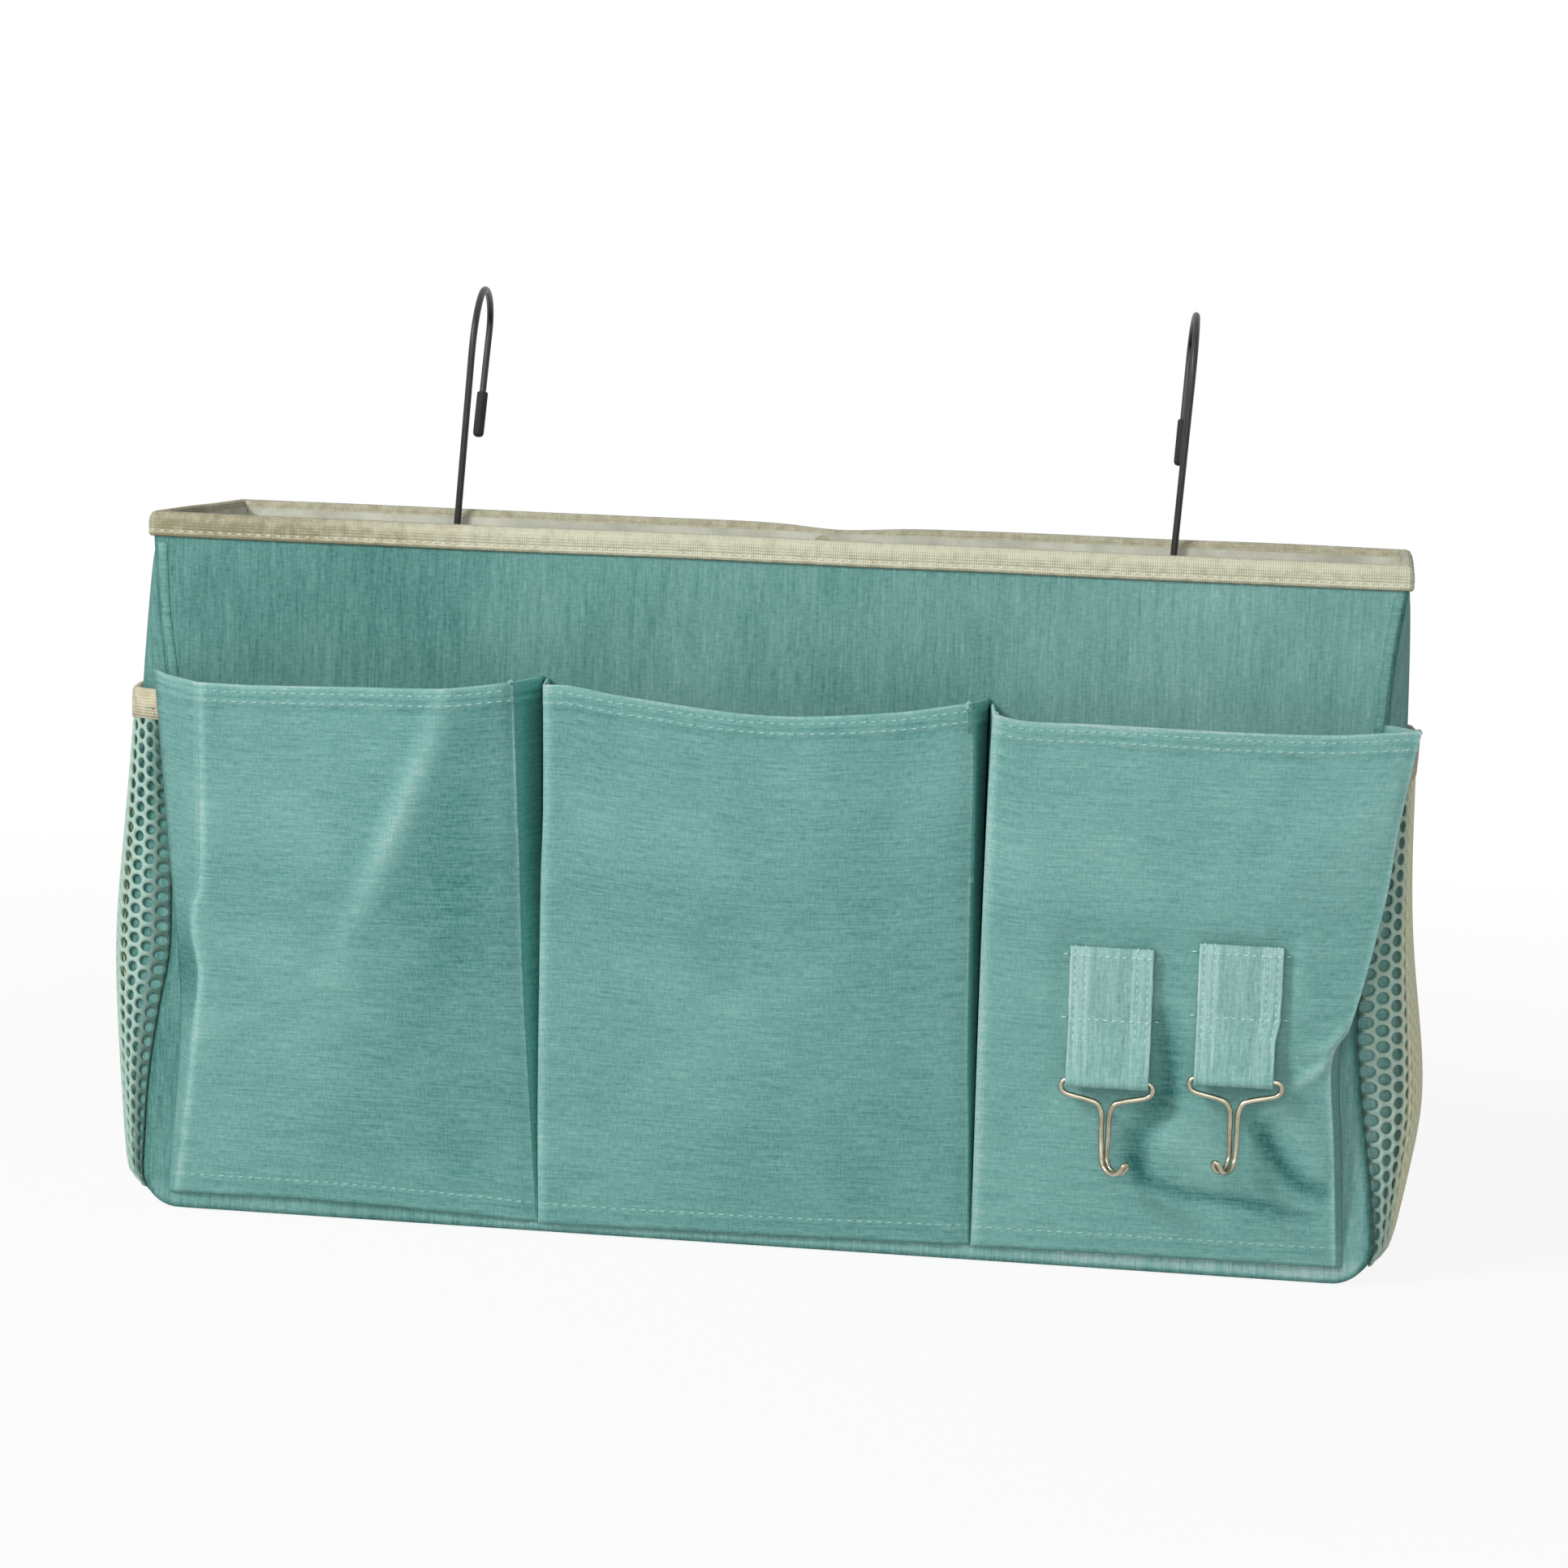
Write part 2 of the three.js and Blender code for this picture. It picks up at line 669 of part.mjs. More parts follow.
// Half of a key hook's wire, from the middle of its bar out, round and down to the crook's tip.
function keyHalf(sign, turn) {
  const loopEnd = keyBarHalfLength;
  const stemTop = keyShoulderDrop + keyNeckDrop;
  const points = [
    [keyBarSplit / 2, 0],
    [loopEnd / 2, 0],
    [loopEnd - keyCornerRun, 0],
    [loopEnd - keyCornerInset, -keyCornerDrop],
    [loopEnd, -keyLoopDrop * keyWidestShare],
    [loopEnd - keyLoopTurnIn, -keyLoopDrop],
    [loopEnd - keyShoulderRun, -keyLoopDrop - keyShoulderSlope],
    [keyStemHalfGap + keyNeckRun, -keyShoulderDrop],
    [keyStemHalfGap + keyNeckRound, -keyShoulderDrop - keyNeckRoundDrop],
    [keyStemHalfGap, -stemTop],
    [(keyStemHalfGap + keyTipHalfGap) / 2, -(stemTop + keyStemLength) / 2],
  ].map(([x, z]) => new THREE.Vector3(sign * x, 0, z));
  const angle = THREE.MathUtils.degToRad(turn);
  const forward = new THREE.Vector3(Math.sin(angle), -Math.cos(angle), 0);
  const sideways = new THREE.Vector3(Math.cos(angle), Math.sin(angle), 0);
  const radius = keyCrookReach / 2;
  for (const bend of spread(0, Math.PI, keyCrookBends)) {
    const point = new THREE.Vector3(0, 0, -keyStemLength - radius * Math.sin(bend));
    point.addScaledVector(forward, radius - radius * Math.cos(bend));
    point.addScaledVector(sideways, sign * keyTipHalfGap);
    points.push(point);
  }
  const tip = new THREE.Vector3(0, 0, keyCrookRise - keyStemLength);
  tip.addScaledVector(forward, keyCrookReach);
  tip.addScaledVector(sideways, sign * keyTipHalfGap);
  points.push(tip);
  return points;
}

// A key hook bent from one wire: its ends meet in the strap and its crook turns back on itself.
function keyHook(turn) {
  const near = keyHalf(-1, turn);
  const far = keyHalf(1, turn);
  const tip = new THREE.Vector3().addVectors(near.at(-1), far.at(-1)).multiplyScalar(0.5);
  tip.z += keyTipHalfGap;
  const curve = new THREE.CatmullRomCurve3([...near, tip, ...far.reverse()], false, 'centripetal');
  return wire(curve, keyWireRadius, keyWireSides, keySteps);
}

// A strap: two layers sewn to the pocket, with a round fold at the bottom for a hook's bar.
function strap(top, barY, barZ) {
  const foldRadius = keyWireRadius + keyBarClearance + strapThickness;
  const sewnBottom = top - strapSewnLength;
  const backTop = pocketFaceY(top) - seatGap;
  const back = pocketFaceY(sewnBottom) - seatGap;
  const layers = 2 * strapThickness;
  const outline = new THREE.Shape();
  outline.moveTo(backTop, top);
  outline.lineTo(back, sewnBottom);
  outline.absarc(barY, barZ, foldRadius, 0, -Math.PI, true);
  outline.lineTo(back - layers, barZ + strapSwellLength);
  outline.lineTo(back - layers, sewnBottom);
  outline.lineTo(backTop - layers, top);
  outline.closePath();
  const eye = new THREE.Path();
  eye.absarc(barY, barZ, keyWireRadius + keyBarClearance, 0, 2 * Math.PI, false);
  outline.holes.push(eye);
  return standAcross(new THREE.ExtrudeGeometry(outline, {
    depth: strapWidth,
    bevelEnabled: false,
    curveSegments: roundSegments / 2,
  }));
}

const straps = [
  { name: 'left', x: leftStrapX, belowMouth: leftStrapBelowMouth, turn: leftKeyCrookTurn },
  { name: 'right', x: rightStrapX, belowMouth: rightStrapBelowMouth, turn: rightKeyCrookTurn },
];
for (const { name, x, belowMouth, turn } of straps) {
  const foldRadius = keyWireRadius + keyBarClearance + strapThickness;
  const top = pocketTop - belowMouth;
  const barY = pocketFaceY(top - strapSewnLength) - seatGap - foldRadius;
  const barZ = top - strapLength + foldRadius;
  const band = addPiece(bag, `${name}_strap`, strap(top, barY, barZ), tealCloth);
  band.position.x = x - strapWidth / 2;
  const hook = addPiece(bag, `${name}_key_hook`, keyHook(turn), silverWire);
  hook.position.set(x, barY, barZ);
}

// The hangers hang from the eyelets: each crook turns about its own centre.
const strandY = tapeInnerY - seatGap - hangerWireRadius;
const crookY = strandY + hangerCrookRadius;
const lipY = innerHalfDepth - washerThickness - eyeletLipThickness;
const bendClearRadius = hangerCrookRadius - hangerWireRadius - seatGap;
const crookAboveBore = Math.sqrt(Math.max(0, bendClearRadius ** 2 - (crookY - lipY) ** 2));
const crookZ = eyeletZ + eyeletBoreRadius + crookAboveBore;

// Far leg of a hanger, from the arch to its tip, in the hanger's own YZ plane.
function farLeg() {
  const top = bagHeight + hangerRiseAboveRim - hangerWireRadius - crookZ;
  const legTop = new THREE.Vector3(0, hangerGap - hangerCrookRadius, top - hangerFarArchRise);
  const tipZ = bagHeight + hangerTipAboveRim + sleeveEndThickness + sleeveClearance - crookZ;
  const tip = new THREE.Vector3(0, hangerGap - hangerCrookRadius - hangerCurlIn, tipZ);
  return { top, legTop, tip };
}

// Point of a hanger's crook at an angle round its centre, in the hanger's own YZ plane.
function crookPoint(angle) {
  return new THREE.Vector3(0, hangerCrookRadius * Math.cos(angle), hangerCrookRadius * Math.sin(angle));
}

// Centre line of a hanger: tail, crook, near strand, arch and far leg.
function hangerCurve() {
  const flare = THREE.MathUtils.degToRad(hangerTailFlare);
  const points = [];
  const tailRoot = crookPoint(-flare);
  const tailWay = new THREE.Vector3(0, Math.sin(flare), Math.cos(flare));
  for (const length of [hangerTailLength, hangerTailLength / 2]) {
    points.push(tailRoot.clone().addScaledVector(tailWay, length));
  }
  for (const angle of spread(-flare, -Math.PI, crookBends)) {
    points.push(crookPoint(angle));
  }
  const { top, legTop, tip } = farLeg();
  const strandTop = top - hangerNearArchRise;
  for (const share of strandShares) {
    points.push(new THREE.Vector3(0, -hangerCrookRadius, strandTop * share));
  }
  const halfGap = hangerGap / 2;
  for (const angle of spread(Math.PI, 0, archBends)) {
    const rise = angle > Math.PI / 2 ? hangerNearArchRise : hangerFarArchRise;
    const y = halfGap - hangerCrookRadius + halfGap * Math.cos(angle);
    points.push(new THREE.Vector3(0, y, top - rise + rise * Math.sin(angle)));
  }
  for (const share of legShares) {
    points.push(new THREE.Vector3().lerpVectors(legTop, tip, share));
  }
  return new THREE.CatmullRomCurve3(points, false, 'centripetal');
}

// Rubber sleeve with a blind bore, standing on its closed end.
function sleeve() {
  const bore = hangerWireRadius + sleeveClearance;
  const outer = bore + sleeveWall;
  return new THREE.LatheGeometry([
    [0, 0],
    [outer, 0],
    [outer, sleeveLength],
    [bore, sleeveLength],
    [bore, sleeveEndThickness],
    [0, sleeveEndThickness],
  ].map(([x, y]) => new THREE.Vector2(x, y)), roundSegments / 2);
}

// Eyelet turned on its axis: outer flange, barrel and the lip that holds the washer.
function eyelet() {
  const outerFace = halfDepth + eyeletFlangeThickness;
  const washerFace = innerHalfDepth - washerThickness;
  const barrel = eyeletBoreRadius + eyeletWall;
  return new THREE.LatheGeometry([
    [eyeletBoreRadius, lipY],
    [eyeletLipRadius, lipY],
    [eyeletLipRadius, washerFace],
    [barrel, washerFace],
    [barrel, halfDepth],
    [eyeletFlangeRadius, halfDepth],
    [eyeletFlangeRadius, outerFace],
    [eyeletBoreRadius, outerFace],
    [eyeletBoreRadius, lipY],
  ].map(([x, y]) => new THREE.Vector2(x, y)), roundSegments);
}

// Washer between the lining and the eyelet's lip.
function washer() {
  const washerFace = innerHalfDepth - washerThickness;
  const hole = eyeletBoreRadius + eyeletWall + seatGap;
  return new THREE.LatheGeometry([
    [hole, washerFace],
    [eyeletFlangeRadius, washerFace],
    [eyeletFlangeRadius, innerHalfDepth],
    [hole, innerHalfDepth],
    [hole, washerFace],
  ].map(([x, y]) => new THREE.Vector2(x, y)), roundSegments);
}

const hangers = [
  { name: 'left', x: leftEyeletX },
  { name: 'right', x: rightEyeletX },
];
for (const { name, x } of hangers) {
  addPiece(bag, `${name}_eyelet`, eyelet(), nickel).position.set(x, 0, eyeletZ);
  addPiece(bag, `${name}_washer`, washer(), nickel).position.set(x, 0, eyeletZ);

  const hanger = new THREE.Group();
  hanger.position.set(x, crookY, crookZ);
  hanger.rotation.set(0, THREE.MathUtils.degToRad(hangerLean), THREE.MathUtils.degToRad(hangerTurn));
  bag.add(hanger);
  const bentWire = wire(hangerCurve(), hangerWireRadius, wireSides, hangerSteps);
  addPiece(hanger, `${name}_hanger`, bentWire, blackWire);

  const { legTop, tip } = farLeg();
  const up = new THREE.Vector3().subVectors(legTop, tip).normalize();
  const cover = addPiece(hanger, `${name}_hanger_sleeve`, sleeve(), blackRubber);
  cover.position.copy(tip).addScaledVector(up, -sleeveEndThickness - sleeveClearance);
  cover.quaternion.setFromUnitVectors(new THREE.Vector3(0, 1, 0), up);
}

export default bag;
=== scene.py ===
# Hanging storage bag, made in the order in which the real one is put together.
# Every piece is drawn in millimetres and brought to metres when it is finished.
import math

import bmesh
import bpy
from mathutils import Matrix, Vector
from mathutils.noise import noise


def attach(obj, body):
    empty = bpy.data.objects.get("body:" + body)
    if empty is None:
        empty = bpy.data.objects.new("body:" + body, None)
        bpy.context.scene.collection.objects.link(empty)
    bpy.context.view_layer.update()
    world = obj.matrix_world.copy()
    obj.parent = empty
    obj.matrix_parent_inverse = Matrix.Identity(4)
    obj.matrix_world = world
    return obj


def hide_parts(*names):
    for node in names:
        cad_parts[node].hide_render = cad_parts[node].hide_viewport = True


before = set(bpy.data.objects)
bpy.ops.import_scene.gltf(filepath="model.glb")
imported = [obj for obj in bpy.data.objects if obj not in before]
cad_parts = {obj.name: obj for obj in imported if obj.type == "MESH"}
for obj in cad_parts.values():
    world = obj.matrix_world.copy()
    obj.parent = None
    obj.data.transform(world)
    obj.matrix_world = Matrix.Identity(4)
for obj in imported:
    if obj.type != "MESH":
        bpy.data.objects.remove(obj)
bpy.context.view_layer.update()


# Camera: a long lens to the right of the bag and a little above it, looking down and to the left.
# It is rolled slightly, because the picture isn't quite level.
mm = 0.001
camera_place = Vector((177.552, -1298.469, 277.975)) * mm
camera_yaw, camera_pitch, camera_roll = -0.135624, -0.108651, 0.036959
forward = Vector((
    math.sin(camera_yaw) * math.cos(camera_pitch),
    math.cos(camera_yaw) * math.cos(camera_pitch),
    math.sin(camera_pitch),
))
level = Vector((math.cos(camera_yaw), -math.sin(camera_yaw), 0))
upright = level.cross(forward)
camera_right = level * math.cos(camera_roll) + upright * math.sin(camera_roll)
camera_up = upright * math.cos(camera_roll) - level * math.sin(camera_roll)
camera_data = bpy.data.cameras.new("camera")
camera_data.sensor_width = 36
camera_data.lens = 97.515
camera_data.clip_end = 20
camera = bpy.data.objects.new("camera", camera_data)
camera.matrix_world = Matrix.Translation(camera_place) @ Matrix(
    (camera_right, camera_up, -forward)).transposed().to_4x4()
bpy.context.scene.collection.objects.link(camera)
bpy.context.scene.camera = camera
bpy.context.scene.view_settings.view_transform = "Standard"


# Floor and light: a wide pale floor under a soft key light from the upper left, with a weaker light in front.
# The floor and the world show as white behind the bag, and the floor keeps its shadow.
def linear(red, green, blue):
    """A colour from its 0 to 255 screen values."""
    def channel(value):
        share = value / 255
        return share / 12.92 if share <= 0.04045 else ((share + 0.055) / 1.055) ** 2.4
    return (channel(red), channel(green), channel(blue), 1)


def add_node(material, kind, **settings):
    """A node in a material, with its settings and its sockets' constants."""
    node = material.node_tree.nodes.new(kind)
    for name, value in settings.items():
        if hasattr(node, name):
            setattr(node, name, value)
        else:
            node.inputs[name.replace("_", " ")].default_value = value
    return node


def join(material, start, end):
    """A link from an output to an input."""
    material.node_tree.links.new(start, end)


def seen_directly(material):
    """One where the camera, a mirror-like surface or glass sees the material, else nought."""
    path = add_node(material, "ShaderNodeLightPath")
    first = add_node(material, "ShaderNodeMath", operation="MAXIMUM")
    second = add_node(material, "ShaderNodeMath", operation="MAXIMUM")
    join(material, path.outputs["Is Camera Ray"], first.inputs[0])
    join(material, path.outputs["Is Glossy Ray"], first.inputs[1])
    join(material, first.outputs[0], second.inputs[0])
    join(material, path.outputs["Is Transmission Ray"], second.inputs[1])
    return second.outputs[0]


world = bpy.data.worlds.new("studio")
world.use_nodes = True
world.node_tree.nodes.clear()
soft_light = add_node(world, "ShaderNodeBackground", Color=(1, 1, 1, 1), Strength=0.29)
white_wall = add_node(world, "ShaderNodeBackground", Color=(1, 1, 1, 1), Strength=1.0)
wall_mix = add_node(world, "ShaderNodeMixShader")
join(world, seen_directly(world), wall_mix.inputs[0])
join(world, soft_light.outputs[0], wall_mix.inputs[1])
join(world, white_wall.outputs[0], wall_mix.inputs[2])
join(world, wall_mix.outputs[0], add_node(world, "ShaderNodeOutputWorld").inputs[0])
bpy.context.scene.world = world

floor_paint = bpy.data.materials.new("floor_paint")
floor_paint.use_nodes = True
floor_paint.node_tree.nodes.clear()
matt_floor = add_node(floor_paint, "ShaderNodeBsdfDiffuse", Color=(0.8, 0.8, 0.8, 1))
white_floor = add_node(floor_paint, "ShaderNodeEmission", Color=(1, 1, 1, 1), Strength=1.0)
floor_spot = add_node(floor_paint, "ShaderNodeTexCoord")
floor_reach = add_node(floor_paint, "ShaderNodeVectorMath", operation="LENGTH")
fade = add_node(floor_paint, "ShaderNodeMapRange", From_Min=0.35, From_Max=1.0, To_Min=0.9)
join(floor_paint, floor_spot.outputs["Object"], floor_reach.inputs[0])
join(floor_paint, floor_reach.outputs["Value"], fade.inputs["Value"])
whiteness = add_node(floor_paint, "ShaderNodeMath", operation="MULTIPLY")
join(floor_paint, fade.outputs[0], whiteness.inputs[1])
floor_mix = add_node(floor_paint, "ShaderNodeMixShader")
join(floor_paint, seen_directly(floor_paint), whiteness.inputs[0])
join(floor_paint, whiteness.outputs[0], floor_mix.inputs[0])
join(floor_paint, matt_floor.outputs[0], floor_mix.inputs[1])
join(floor_paint, white_floor.outputs[0], floor_mix.inputs[2])
join(floor_paint, floor_mix.outputs[0], add_node(floor_paint, "ShaderNodeOutputMaterial").inputs[0])
floor_shape = bmesh.new()
bmesh.ops.create_grid(floor_shape, x_segments=2, y_segments=2, size=6)
bmesh.ops.translate(floor_shape, vec=(0, 0, -0.0005), verts=floor_shape.verts)
floor_mesh = bpy.data.meshes.new("floor")
floor_shape.to_mesh(floor_mesh)
floor_mesh.materials.append(floor_paint)
floor = bpy.data.objects.new("floor", floor_mesh)
bpy.context.scene.collection.objects.link(floor)


def lamp(name, place, aim, size, power):
    """A soft square lamp that points at a place."""
    data = bpy.data.lights.new(name, "AREA")
    data.size = size
    data.energy = power
    light = bpy.data.objects.new(name, data)
    way = Vector(aim) - Vector(place)
    light.matrix_world = Matrix.Translation(place) @ way.to_track_quat("-Z", "Y").to_matrix().to_4x4()
    bpy.context.scene.collection.objects.link(light)


lamp("key", (-1.4, -1.5, 1.5), (0, 0, 0.1), 0.6, 38)
lamp("fill", (0.1, -2.4, 0.8), (0, 0, 0.1), 1.2, 17)


# Outer walls: front, back, two sides and a base of slub-woven cloth, sewn together edge to edge.
# Only the front, back and base hold a board, so the sides bow out, and the pockets draw the front seams in.
def smooth_through(*knots):
    """A smooth curve through pairs of a place and a value."""
    slopes = []
    for i in range(len(knots)):
        before, after = knots[max(i - 1, 0)], knots[min(i + 1, len(knots) - 1)]
        slopes.append((after[1] - before[1]) / (after[0] - before[0]))

    def curve(place):
        place = min(max(place, knots[0][0]), knots[-1][0])
        i = max(k for k in range(len(knots) - 1) if place >= knots[k][0])
        (a, start), (b, end) = knots[i], knots[i + 1]
        t = (place - a) / (b - a)
        bend = (b - a) * (slopes[i] * t * (1 - t) ** 2 - slopes[i + 1] * t * t * (1 - t))
        return start + (end - start) * t * t * (3 - 2 * t) + bend
    return curve


def ease(start, end, value):
    """Rises smoothly from 0 at start to 1 at end."""
    t = min(max((value - start) / (end - start), 0), 1)
    return t * t * (3 - 2 * t)


def colour_ramp(material, start, end, *between):
    """A ramp through pairs of a position and a colour."""
    ramp = add_node(material, "ShaderNodeValToRGB")
    for element, (position, colour) in zip(ramp.color_ramp.elements[:], (start, end)):
        element.position = position
        element.color = colour
    for position, colour in between:
        ramp.color_ramp.elements.new(position).color = colour
    return ramp


# A wave texture of this scale draws one band to each unit.
band_scale = 0.314159


def slub_cloth(name, dark, light, slubs_along_v, streaky=0.3):
    """Plain-weave cloth, with thick and thin slub yarns along V or across it. Its UV map is in millimetres.

    Its wear_and_painted_light attribute makes it paler or darker, partly as wear and partly as painted
    highlights and painted shade, and inside the pleats painted bounce light makes its colour brighter and
    stronger.
    A larger streaky gives it more contrast between its long pale and dark streaks.
    """
    yarn_pitch = 0.62
    cloth = bpy.data.materials.new(name)
    cloth.use_nodes = True
    cloth.node_tree.nodes.clear()
    place = add_node(cloth, "ShaderNodeUVMap", uv_map="weave")
    wander = add_node(cloth, "ShaderNodeTexNoise", noise_dimensions="2D", Scale=0.22, Detail=1.0)
    shift = add_node(cloth, "ShaderNodeVectorMath", operation="MULTIPLY_ADD")
    shift.inputs[1].default_value = (0.7, 0.7, 0)
    join(cloth, place.outputs[0], wander.inputs["Vector"])
    join(cloth, wander.outputs["Color"], shift.inputs[0])
    join(cloth, place.outputs[0], shift.inputs[2])

    def yarns(direction):
        """Yarns side by side: 0 at the gaps and 1 on top."""
        bands = add_node(cloth, "ShaderNodeTexWave", wave_type="BANDS", bands_direction=direction,
                         Scale=band_scale / yarn_pitch, Distortion=0.0)
        join(cloth, shift.outputs[0], bands.inputs["Vector"])
        return bands.outputs["Fac"]

    warp = yarns("X")
    weft = yarns("Y")
    over = add_node(cloth, "ShaderNodeMath", operation="SUBTRACT")
    join(cloth, warp, over.inputs[0])
    join(cloth, weft, over.inputs[1])
    crossing = add_node(cloth, "ShaderNodeMath", operation="ABSOLUTE")
    join(cloth, over.outputs[0], crossing.inputs[0])

    def slubs(along, across, seed, detail):
        """Long flecks, along and across in millimetres."""
        scale = (1 / across, 1 / along, 1) if slubs_along_v else (1 / along, 1 / across, 1)
        turn = add_node(cloth, "ShaderNodeMapping", Scale=scale, Location=(seed, seed * 1.7, 0))
        fleck = add_node(cloth, "ShaderNodeTexNoise", noise_dimensions="2D", Scale=1.0, Detail=detail,
                         Roughness=0.6)
        join(cloth, place.outputs[0], turn.inputs["Vector"])
        join(cloth, turn.outputs[0], fleck.inputs["Vector"])
        return fleck.outputs["Fac"]

    long_slubs = slubs(14, 0.75, 3.1, 2.0)
    short_slubs = slubs(3.2, 0.5, 11.3, 1.0)
    cross_flecks = slubs(0.6, 2.6, 23.7, 1.0)
    streaks = slubs(34, 3.2, 41.3, 2.0)
    clouds = slubs(60, 45, 5.9, 2.0)

    def weighted(parts):
        """Sum of outputs less a half each, times their weights, plus a half."""
        total = None
        for output, weight in parts:
            step = add_node(cloth, "ShaderNodeMath", operation="MULTIPLY_ADD")
            step.inputs[1].default_value = weight
            join(cloth, output, step.inputs[0])
            if total is None:
                step.inputs[2].default_value = 0.5 - 0.5 * sum(w for _, w in parts)
            else:
                join(cloth, total, step.inputs[2])
            total = step.outputs[0]
        return total

    tone = weighted([(long_slubs, 0.46), (short_slubs, 0.38), (cross_flecks, 0.36), (streaks, streaky),
                     (clouds, 0.34), (crossing.outputs[0], 0.12)])
    # The wear_and_painted_light attribute makes the cloth paler or darker: partly wear, partly painted
    # highlights and painted shade.
    wear_and_painted_light = add_node(cloth, "ShaderNodeAttribute", attribute_name="wear_and_painted_light")
    tone_with_painted_light = add_node(cloth, "ShaderNodeMath", operation="MULTIPLY_ADD")
    tone_with_painted_light.inputs[1].default_value = 0.6
    join(cloth, wear_and_painted_light.outputs["Fac"], tone_with_painted_light.inputs[0])
    join(cloth, tone, tone_with_painted_light.inputs[2])
    deepest = (0.36 * dark[0], 0.6 * dark[1], 0.58 * dark[2], 1)
    palest = [0.68 * channel + 0.32 * 0.72 for channel in light[:3]] + [1]
    ramp = colour_ramp(cloth, (0, deepest), (1, palest), (0.24, dark), (0.76, light))
    join(cloth, tone_with_painted_light.outputs[0], ramp.inputs[0])
    height = weighted([(crossing.outputs[0], 0.5), (long_slubs, 0.9), (short_slubs, 0.5)])
    bump = add_node(cloth, "ShaderNodeBump", Strength=0.3, Distance=0.00035)
    join(cloth, height, bump.inputs["Height"])
    surface = add_node(cloth, "ShaderNodeBsdfPrincipled", Roughness=0.88, Specular_IOR_Level=0.15,
                       Sheen_Weight=0.03, Sheen_Roughness=0.5)
    # Painted bounce light: inside the pleats the colour is made brighter and more saturated.
    painted_pleat_light = add_node(cloth, "ShaderNodeAttribute", attribute_name="painted_pleat_light")
    depth = add_node(cloth, "ShaderNodeHueSaturation")
    for socket, gain in (("Saturation", 0.24), ("Value", 0.32)):
        level = add_node(cloth, "ShaderNodeMath", operation="MULTIPLY_ADD")
        level.inputs[1].default_value = gain
        level.inputs[2].default_value = 1
        join(cloth, painted_pleat_light.outputs["Fac"], level.inputs[0])
        join(cloth, level.outputs[0], depth.inputs[socket])
    join(cloth, ramp.outputs[0], depth.inputs["Color"])
    join(cloth, depth.outputs[0], surface.inputs["Base Color"])
    join(cloth, bump.outputs[0], surface.inputs["Normal"])
    join(cloth, surface.outputs[0], add_node(cloth, "ShaderNodeOutputMaterial").inputs[0])
    return cloth


def make_piece(name, mesh, material, body):
    """A smooth piece of one material that rides on a body."""
    mesh.polygons.foreach_set("use_smooth", [True] * len(mesh.polygons))
    mesh.materials.clear()
    mesh.materials.append(material)
    piece = bpy.data.objects.new(name, mesh)
    bpy.context.scene.collection.objects.link(piece)
    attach(piece, body)
    return piece


def finish_piece(name, shape, material, body="bag"):
    """Brings a drawn shape to metres and makes it a piece."""
    bmesh.ops.scale(shape, vec=(mm, mm, mm), verts=shape.verts)
    mesh = bpy.data.meshes.new(name)
    shape.to_mesh(mesh)
    shape.free()
    return make_piece(name, mesh, material, body)


def thicken(piece, thickness, offset=-1):
    """Gives a cloth its thickness, inwards from its face unless an offset says otherwise."""
    layer = piece.modifiers.new("thickness", "SOLIDIFY")
    layer.thickness = thickness * mm
    layer.offset = offset


half_width = 188.8
half_depth = 49.8
wall_top = 211.2
corner_radius = 12
corner_start = half_width - corner_radius
# Lengths up a side wall start where the base begins to turn up.
corner_length = corner_radius * math.pi / 2
bow_length = corner_length + 192.3
side_bow = {-1: 11.2, 1: 2.4}
side_fullness = {-1: (80, 45, 0.33), 1: (58, 38, 2.5)}
front_seam_draw = {
    -1: smooth_through((0, 1), (12, 1.6), (40, 3), (63, 6.1), (79, 8.9), (94, 9), (119, 8.6), (145, 6.2),
                       (165, 5), (182, 2.5), (206, 0.8), (214, 0)),
    1: smooth_through((0, 1), (12, 1.1), (27, 2.6), (39, 4.4), (56, 6.9), (73, 9), (84, 9.1), (110, 7.8),
                      (140, 5.8), (166, 4.4), (189, 2.7), (206, 0.3), (214, 0)),
}
back_crease = smooth_through((-70, 0), (-30, 0.5), (-6, 2.2), (6, 4.2), (14, 2.4), (40, 0.6), (80, 0))


def across_share(y):
    """Share of a side's swell at a place across it: none at the corner seams, and nearly all between them."""
    return max(math.cos(math.pi * y / (2 * half_depth)), 0) ** 0.5 * ease(49.9, 45, abs(y))


def seam_draw(sign, z, deep):
    """How far the pockets draw a side's seams in: most at the front one, and none between the seams."""
    return front_seam_draw[sign](z) * (0.35 + 0.65 * (1 - deep) / 2) * ease(0.8, 1, abs(deep))


def bowed(sign, length, y):
    """How far out a side wall bows at a length up it and a place across it."""
    up = min(max(length / bow_length, 0), 1)
    middle, spread, fuller = side_fullness[sign]
    return side_bow[sign] * math.sin(math.pi * up) ** 0.45 * across_share(y) * (
        1 + fuller * math.exp(-((length - middle) / spread) ** 2))


